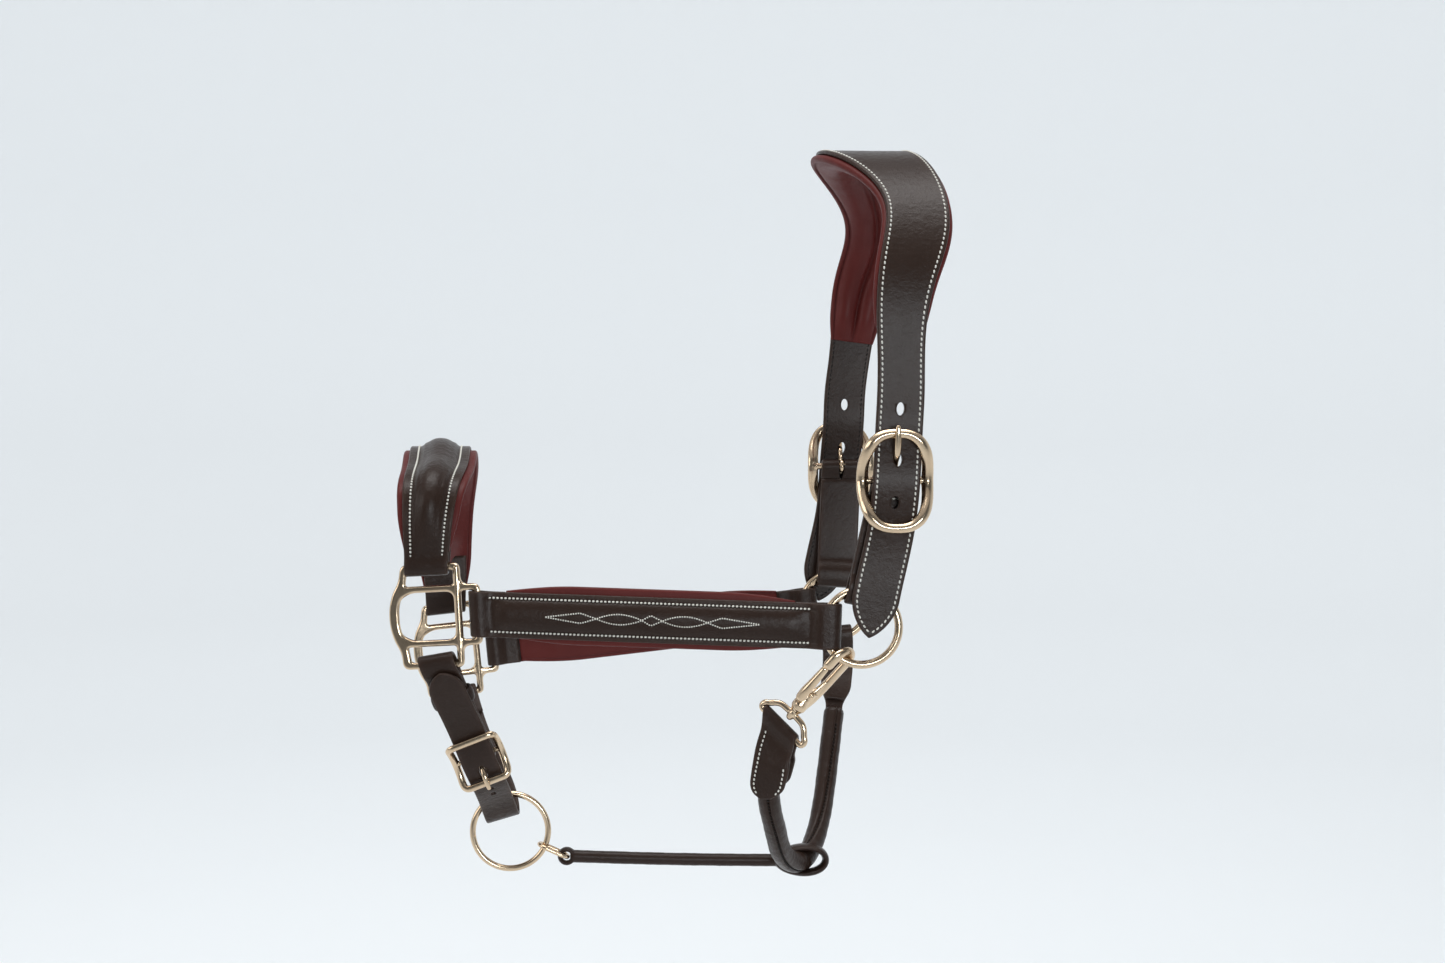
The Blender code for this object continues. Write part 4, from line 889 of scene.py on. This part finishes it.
def billet_run():
    """From the billet's tip in the buckle, round under the chin and up to the off fitting."""
    out = [chin.place(u, 0, n) for u, n in ((1.5, 7.0), (21.0, 5.7), (chin_length - 27, 4.0), (chin_length - 13, 3.7),
                                           (chin_length, 5.2), (chin_length + 12, 3.6))]
    off = on_fitting(OFF, 0.6, -26.2)
    low = [CHIN_BEND + (-2.0, -11.0, 7.5), CHIN_BEND, CHIN_BEND + (-1.0, 10.0, 6.0)]
    rows = [(*p, CHIN_WIDTH / 2) for p in out + low + [CHIN_BEND * 0.45 + off * 0.55, off]]
    across = [CHIN_ACROSS, CHIN_ACROSS, CHIN_ACROSS, (0.95, 0.0, 0.25), (0.97, 0.1, 0.2), fitting_axes(OFF)[0]]
    return Run(rows, across, [(-205, 0, -290)], slanted=True)


billet = billet_run()
round_bar = BAR_ROUND + GAP + CHIN_THICK / 2
path = [(u, 0.0) for u in np.linspace(0, billet.length - 14, 60)]
path += [(billet.length - 7, 0.6), (billet.length - 2, round_bar)] + bend(billet.length, round_bar, 80, -80)
path += [(billet.length - 5, -2.8), (billet.length - 18, -2.2)]


def billet_tip(u):
    """The width of the billet's rounded tip."""
    return np.maximum(0.06, (1 - (1 - np.clip(u / 12.0, 0, 1)) ** 2) ** 0.6)


skin = strap_shell(billet, path[::-1], CHIN_THICK, 11, billet_tip)
strap = piece("chin_billet_leather", [skin], brown, "nose_frame", "chin_billet")
fine = np.linspace(0, billet.length / 2, 500)
hole = fine[np.argmin(np.linalg.norm(billet.place(fine, 0, 0) - on_chin(6.6, 0, 5.0), axis=1))]
billet_holes = [(hole + 1.0, 0.0, 3.9, 9.4)] + [(hole + step, 0.0, 2.9, 3.6) for step in (9.8, 16.2, 22.6)]
punched(strap, billet, billet_holes, 6.0)

KEEPER_AT, KEEPER_WIDTH, KEEPER_THICK = 21.0, 8.0, 1.7
loop = [chin.place(KEEPER_AT, x, n) for x, n in rounded_square(10.8, 3.2, 2.6, 0.8)]
outward = [p - chin.place(KEEPER_AT, 0, 0) for p in loop]
keeper = sweep(loop, KEEPER_WIDTH, KEEPER_THICK, outward, closed=True, sides=20)
piece("chin_keeper_leather", [keeper], brown, "keeper", "chin_keeper")

# ------------------------------------------------------------------ lead ring, link and connector
# The lead ring hangs in the bend of the billet. A brass link joins it to a rolled leather connector,
# whose slit rear end is sewn round the throatlash.

CHIN_RING = np.array((-198.0, 0.0, -371.9))
CHIN_RING_RADIUS, CHIN_RING_WIRE = 21.2, 1.7
LINK_WIRE, LINK_ANGLE = 1.2, math.radians(-25)
CONNECTOR_EYE = np.array((-32.0, 0.0, -391.0))
CONNECTOR_RADIUS = 3.5
side = np.array((0, 1.0, 0))
wire_ring("lead_ring_brass", CHIN_RING, side, CHIN_RING_RADIUS, CHIN_RING_WIRE, "lead_ring", "chin_ring")
away = np.array((math.cos(LINK_ANGLE), 0, math.sin(LINK_ANGLE)))
wire_at = CHIN_RING + CHIN_RING_RADIUS * away
reach, half = 9.2, 4.2
near_end = wire_at - away * (CHIN_RING_WIRE + GAP + LINK_WIRE - half)
turn = np.linspace(-math.pi / 2, math.pi / 2, 17)
points = [near_end - away * half * math.cos(a) + side * half * math.sin(a) for a in turn]
points += [near_end + away * (reach + half * math.cos(a)) + side * half * math.sin(a) for a in turn[::-1]]
points = resampled(points + points[:1], 0.7)[:-1]
link = sweep(points, 2 * LINK_WIRE, 2 * LINK_WIRE, np.cross(away, side), closed=True)
piece("link_brass", [link], brass, "nose_frame", "chin_link")
hold = near_end + away * (reach + half)
knob = hold - away * 0.6
turn = np.linspace(0, 2 * math.pi, 40, endpoint=False)
level = np.array((0, 0, 1.0))
eye_loop = [knob + (np.array((1.0, 0, 0)) * math.cos(a) + level * math.sin(a)) * 3.85 for a in turn]
front_eye = sweep(eye_loop, 6.0, 2.7, [knob - p for p in eye_loop], closed=True, sides=18)
start, stop = knob + unit(CONNECTOR_EYE - knob) * 3.9, CONNECTOR_EYE - np.array((13.4, 0, 0))
middle = (start + stop) / 2 + np.array((0, 0, -0.5))


def rolled_shell(points, radius, seam, groove, sides=28):
    """Leather sewn round a cord: a round roll with a seam along it, towards the seam direction."""
    points = resampled(points, 1.2)
    along = unit(np.gradient(points, axis=0))
    seam = unit(seam - along * np.sum(np.broadcast_to(seam, points.shape) * along, axis=1, keepdims=True))
    other = np.cross(along, seam)
    turn = np.linspace(0, 2 * math.pi, sides * 2, endpoint=False)
    folded_turn = np.minimum(turn, 2 * math.pi - turn)
    size = 1 - groove / 6.0 * np.exp(-(folded_turn / 0.13) ** 2) + 0.035 * np.exp(-((folded_turn - 0.34) / 0.17) ** 2)
    run = distance_along(points)
    rings = []
    for i, p in enumerate(points):
        r = radius * (1 + 0.012 * math.sin(run[i] * 0.31) + 0.008 * math.sin(run[i] * 0.93))
        rings.append(p + (np.outer(np.cos(turn) * size, seam[i]) + np.outer(np.sin(turn) * size, other[i])) * r)
    return shell(np.array(round_ends(rings, points, along, (radius * 0.6, radius * 0.6), (25, 50, 70, 84))))


roll = rolled_shell(smooth_path([start, middle, stop], 40), CONNECTOR_RADIUS, np.array((0, 0.3, -1.0)), 0.7)
turn = np.linspace(0, 2 * math.pi, 60, endpoint=False)
oval = [CONNECTOR_EYE + (-0.6 + 14.0 * math.cos(t), 0, 8.4 * math.sin(t) * (1 - 0.13 * (1 - math.cos(t))))
        for t in turn]
rear_eye = sweep(oval, 11.0, 3.8, [CONNECTOR_EYE - p for p in oval], closed=True, sides=22)
cast("connector_leather", [roll, front_eye, rear_eye], brown, "nose_frame", "connector_strap", voxel=0.45, smooth=3)

# ------------------------------------------------------------------ snap hook
# The near end of the throatlash carries a cast brass snap hook. A tapered lever on a cross pin closes
# its mouth, a small spring holds it shut, and the hook turns on a square eye with two round shoulders.

HOOK_ON_RING = math.radians(238)
HOOK_UP = unit((0.613, -0.26, 0.741))
HOOK_SIDE = unit(np.array((-0.45, -0.8, 0.4)) - HOOK_UP * np.dot((-0.45, -0.8, 0.4), HOOK_UP))
HOOK_FACE = np.cross(HOOK_UP, HOOK_SIDE)
RING_IN_HOOK = 38.0
PIN_AT, PIN_SIDE = 13.0, 2.4
EYE_BAR = 12.4
EYE_ACROSS = unit(np.array((0.66, -0.3, -0.69)) - HOOK_UP * np.dot((0.66, -0.3, -0.69), HOOK_UP))


def on_hook(p, q, depth=0.0):
    """A point on the snap hook: p along its shank, q towards its gate."""
    wire = np.array(RING[NEAR]) + RING_RADIUS * np.array((math.cos(HOOK_ON_RING), 0, math.sin(HOOK_ON_RING)))
    return wire + HOOK_UP * (p - RING_IN_HOOK) + HOOK_SIDE * q + HOOK_FACE * depth


def hook_bar(rows, taper, flat=1.0):
    """A tapering bar through (p, q) places on the hook."""
    rows = smooth_path([on_hook(*row) for row in rows], 50)
    size = np.interp(np.linspace(0, 1, 50), np.linspace(0, 1, len(taper)), taper)
    return sweep(rows, size * 2 * flat, size * 2, HOOK_FACE)


spine_q, top_p = 6.6, 36.6
spine = [(1.5, 0), (4.0, -1.6), (8.0, -3.8), (14.0, -5.6), (22.0, -6.6), (30.0, -6.6)]
spine += [(top_p + spine_q * math.sin(a), -spine_q * math.cos(a)) for a in np.linspace(0, math.pi, 11)]
spine += [(32.4, 6.6)]
body = [hook_bar(spine, (3.4, 3.1, 2.8, 2.5, 2.3, 2.3, 2.3, 2.3, 2.3, 2.4, 2.7, 2.7), 1.22),
        hook_bar([(3.0, -0.4), (8.0, -1.2), (14.0, -3.6), (21.0, -5.0)], (3.0, 2.7, 2.0, 1.2), 1.5),
        hook_bar([(-0.6, 0), (2.0, 0.1), (4.5, 0.4), (7.0, 0.4)], (2.6, 4.2, 4.3, 3.2))]
for hand in (-1, 1):
    ear = [(PIN_AT, -5.2, 1.3 * hand), (PIN_AT, -2.0, 2.3 * hand), (PIN_AT, 3.2, 2.5 * hand)]
    body.append(hook_bar(ear, (0.8, 0.8, 1.2)))
cast("snap_hook_brass", body, brass, "hook", "snap_hook", voxel=0.3, smooth=4)
gate = [hook_bar([(8.8, 5.4), (12.0, 5.9), (17.0, 6.2), (29.2, 6.6)], (2.7, 2.8, 2.4, 2.2, 1.9), 1.15),
        hook_bar([(PIN_AT, 5.6, -0.3), (PIN_AT, 2.6, -0.3)], (1.2, 1.7))]
cast("snap_gate_brass", gate, brass, "gate", "snap_gate", voxel=0.28, smooth=4)
pin = sweep([on_hook(PIN_AT, PIN_SIDE, d) for d in (-3.3, 0, 3.3)], 2.0, 2.0, HOOK_UP)
piece("snap_pin_brass", [pin], brass, "hook", "snap_pin")
coil = [on_hook(PIN_AT + 1.7 * math.cos(t), PIN_SIDE + 1.7 * math.sin(t), 1.0 + 0.10 * t)
        for t in np.linspace(0, 8, 60)]
piece("snap_spring_wire", [sweep(coil, 0.5, 0.5, HOOK_FACE, sides=8)], brass, "hook", "snap_spring")


def on_eye(down, across):
    """A point on the square eye: down from the hook's neck and across."""
    return on_hook(-down, 0) + EYE_ACROSS * across


shoulder = [(2.6, 1.6), (2.9, 5.0), (3.2, 7.6), (5.0, 10.6), (7.8, 13.4), (EYE_BAR - 2.6, 15.2),
            (EYE_BAR - 0.4, 14.6), (EYE_BAR, 12.6)]
outline = shoulder + [(d, -a) for d, a in reversed(shoulder)]
loop = smooth_path([on_eye(d, a) for d, a in outline + outline[:1]], 120)[:-1]
across_face = np.cross(HOOK_UP, EYE_ACROSS)
swell = np.array((4.6, 5.4, 4.4))
collar = sweep([on_eye(0.4, 0), on_eye(2.4, 0), on_eye(4.6, 0)], swell, swell, EYE_ACROSS)
cast("snap_eye_brass", [sweep(loop, 3.5, 3.3, across_face, closed=True), collar], brass, "nose_frame", "snap_eye",
     voxel=0.32, smooth=4)

# ------------------------------------------------------------------ throatlash
# The throatlash is leather rolled round a cord. Its near end is sewn into a tab folded over the
# hook's eye, and its off end is left flat and turned round the off side ring.

ROLL_RADIUS = 6.0
TAB_FOOT = np.array((-57.6, -59.0, -341.5))
fold = on_eye(EYE_BAR, -0.1)
rows = [(*fold, 12.0), (*(fold * 0.72 + TAB_FOOT * 0.28), 11.0), (*(fold * 0.3 + TAB_FOOT * 0.7), 9.8),
        (*TAB_FOOT, 9.2)]
tab = Run(rows, [EYE_ACROSS, EYE_ACROSS, (0.93, -0.25, -0.4), (0.96, -0.3, -0.15), (0.97, -0.3, 0)], (-0.2, -1, 0),
          slanted=True)
turned = 1.5 + GAP + FOLD_THICK / 2
layer = ROLL_RADIUS + GAP + FOLD_THICK / 2
path = [(tab.length, -layer - 1.2), (tab.length * 0.8, -layer - 0.3), (tab.length * 0.5, -layer)]
path += [(8.0, -turned + 0.6), (4.2, -turned + 0.5)]
path += [(u * 1.15, n) for u, n in bend(0, turned, -95, -265, 17)]
path += [(4.2, turned - 0.7), (7.5, turned - 0.9), (11.0, turned), (tab.length * 0.5, layer - 0.6),
         (tab.length * 0.7, layer), (tab.length, layer)]


def tab_end(u):
    """The width of the tab's rounded end."""
    return np.maximum(0.35, (1 - (1 - np.clip((tab.length - u) / 9.0, 0, 1)) ** 2) ** 0.5)


skin = strap_shell(tab, path[::-1], FOLD_THICK, width=tab_end)
piece("throat_tab_leather", [skin], brown, "nose_frame", "throat_tab")
u = np.linspace(7.0, tab.length - 3.0, 80)
out = np.interp(u, [7.5, 11.0, tab.length * 0.5, tab.length * 0.7],
                [turned - 0.7, turned + 0.3, layer - 0.5, layer]) + FOLD_THICK / 2
x = np.minimum(tab.half(u) * tab_end(u) - 2.2, 7.4)
seams = [np.stack([u, -x, out], axis=1), np.stack([u[30:], x[30:], out[30:]], axis=1)]
stitches("throat_tab_stitches", tab, seams, "nose_frame", pitch=2.4)

inside = [tuple(tab.place(tab.length * share, 0, 0)) for share in (0.55, 0.9)]
route = [*inside, (-52.6, -46.0, -362.0), (-43.5, -19.0, -385.5),
         (-32.5, 0.0, -391.3), (-22.5, 19.0, -382.5), (-13.5, 41.0, -354.0), (-7.5, 58.0, -324.0), (-6.0, 62.0, -316.0)]
roll = Run([(*p, ROLL_RADIUS) for p in route],
           [(0.95, -0.3, 0.1), (0.9, -0.1, 0.4), (0.9, 0.3, 0.3), (0.9, 0.4, 0.1)], (-0.3, -1, 0.2))
points = resampled(roll.mid, 1.2)
u = np.linspace(0, roll.length, len(points))
skin = rolled_shell(points, ROLL_RADIUS, unit(roll.pick(roll.normal, u)), 1.1)
piece("throat_roll_leather", [skin], brown, "nose_frame", "throat_roll")
seam = np.stack([np.linspace(10.0, roll.length - 8.0, 300), np.zeros(300), np.full(300, ROLL_RADIUS - 0.5)], axis=1)
stitches("throat_roll_stitches", roll, [seam], "nose_frame", pitch=2.2, slant=0.5, radius=0.4, yarn=dark_thread)
half = 9.2
roll_end = np.array(route[-1])
bar, bow = ring_hold(OFF, roll_end + (6.0, 0, 0), half)
straight = bar + unit(bar - np.array(RING[OFF])) * 14.0
throat = Run([(*p, half) for p in (bar, straight, (straight + roll_end) / 2, roll_end)], (1, 0, 0), (0, 1, 0))
wide, layer = RING_ROUND + GAP + FOLD_THICK / 2, (FOLD_THICK + 0.1) / 2
low = throat.length - 2.0
path = [(low - 6, -layer), (bow + 6, -layer), (bow, -wide)] + bend(0, wide, 255, 105)
path += [(bow, wide), (bow + 6, layer), (low - 18, layer), (low - 6, layer), (low, layer)]


def waist(u):
    """The flat strap narrows to the roll."""
    return 1.0 - 0.45 * smooth_step((u - (low - 16)) / 14.0)


skin = strap_shell(throat, path[::-1], FOLD_THICK, width=waist)
piece("off_throat_strap_leather", [skin], brown, "nose_frame", "off_throat_strap")

# ------------------------------------------------------------------ floor, light and camera
# A pale sweep of floor and wall, darker in front where it would shine in the leather, large soft
# lights, and the camera on the near side, a little over a metre away.


FLOOR_DROP = 0.62
PALE, SHADED = (0.86, 0.89, 0.91), (0.16, 0.17, 0.18)


def sweep_floor():
    """A pale floor that curves up into a wall all round."""
    rim = [(0.0, 0.0), (1.2, 0.0), (1.8, 0.02), (2.3, 0.14), (2.7, 0.42), (2.95, 0.9), (3.05, 1.6), (3.1, 2.6)]
    rings = np.array([[(max(r, 0.001) * math.cos(t), max(r, 0.001) * math.sin(t), z - FLOOR_DROP)
                       for t in np.linspace(0, 2 * math.pi, 96, endpoint=False)] for r, z in rim])
    points, faces = shell(rings)
    mesh = bpy.data.meshes.new("floor")
    mesh.from_pydata(points.tolist(), [], faces[:-1])
    mesh.shade_smooth()
    paint = Finish("pale_floor", PALE, 0.9)
    depth = paint.add("ShaderNodeSeparateXYZ", [("Vector", paint.place)])
    front = paint.add("ShaderNodeMapRange", [("Value", depth.outputs["Y"])], interpolation_type="SMOOTHSTEP")
    front.inputs["From Min"].default_value, front.inputs["From Max"].default_value = -1.6, 0.2
    paint.tones(front.outputs["Result"], SHADED, PALE)
    paint.relief(paint.noise(40.0, 4.0), 0.05, 0.002)
    mesh.materials.append(paint.material)
    obj = bpy.data.objects.new("floor", mesh)
    bpy.context.scene.collection.objects.link(obj)
    obj.location = (-0.1, 0.0, 0.0)


def soft_light(name, place, aim, size, power, colour=(1, 1, 1)):
    """A large rectangular lamp that faces its aim."""
    data = bpy.data.lights.new(name, "AREA")
    data.shape, data.size, data.size_y = "RECTANGLE", size[0], size[1]
    data.energy, data.color = power, colour
    obj = bpy.data.objects.new(name, data)
    obj.location = place
    obj.rotation_euler = (Vector(aim) - Vector(place)).to_track_quat("-Z", "Y").to_euler()
    bpy.context.scene.collection.objects.link(obj)


sweep_floor()
middle = (-0.12, 0.0, -0.2)
soft_light("key", (0.38, -2.0, -0.13), (0.0, 0.0, -0.13), (0.9, 0.24), 15, (0.90, 0.96, 1.0))
soft_light("fill", (-2.0, -1.0, 0.5), middle, (1.2, 1.2), 10, (1.0, 0.99, 0.97))
soft_light("top", (-0.1, -0.2, 1.9), middle, (1.6, 1.6), 20)
soft_light("backdrop", (0.0, 0.0, 2.0), (0.0, 3.0, 0.2), (2.4, 1.2), 34)
world = bpy.data.worlds.new("studio")
world.use_nodes = True
world.node_tree.nodes["Background"].inputs["Color"].default_value = (0.86, 0.87, 0.885, 1)
world.node_tree.nodes["Background"].inputs["Strength"].default_value = 0.42
bpy.context.scene.world = world

CAMERA_AT = (-0.161, -1.133, -0.134)
LENS_LENGTH, SENSOR = 50.0, 36.0
yaw, pitch = math.radians(4.2), math.radians(-2.04)
aim = Vector((math.sin(yaw) * math.cos(pitch), math.cos(yaw) * math.cos(pitch), math.sin(pitch)))
camera = bpy.data.objects.new("camera", bpy.data.cameras.new("camera"))
camera.data.lens, camera.data.sensor_width = LENS_LENGTH, SENSOR
camera.location = CAMERA_AT
camera.rotation_euler = aim.to_track_quat("-Z", "Y").to_euler()
bpy.context.scene.collection.objects.link(camera)
bpy.context.scene.camera = camera
bpy.context.scene.view_settings.view_transform = "Standard"
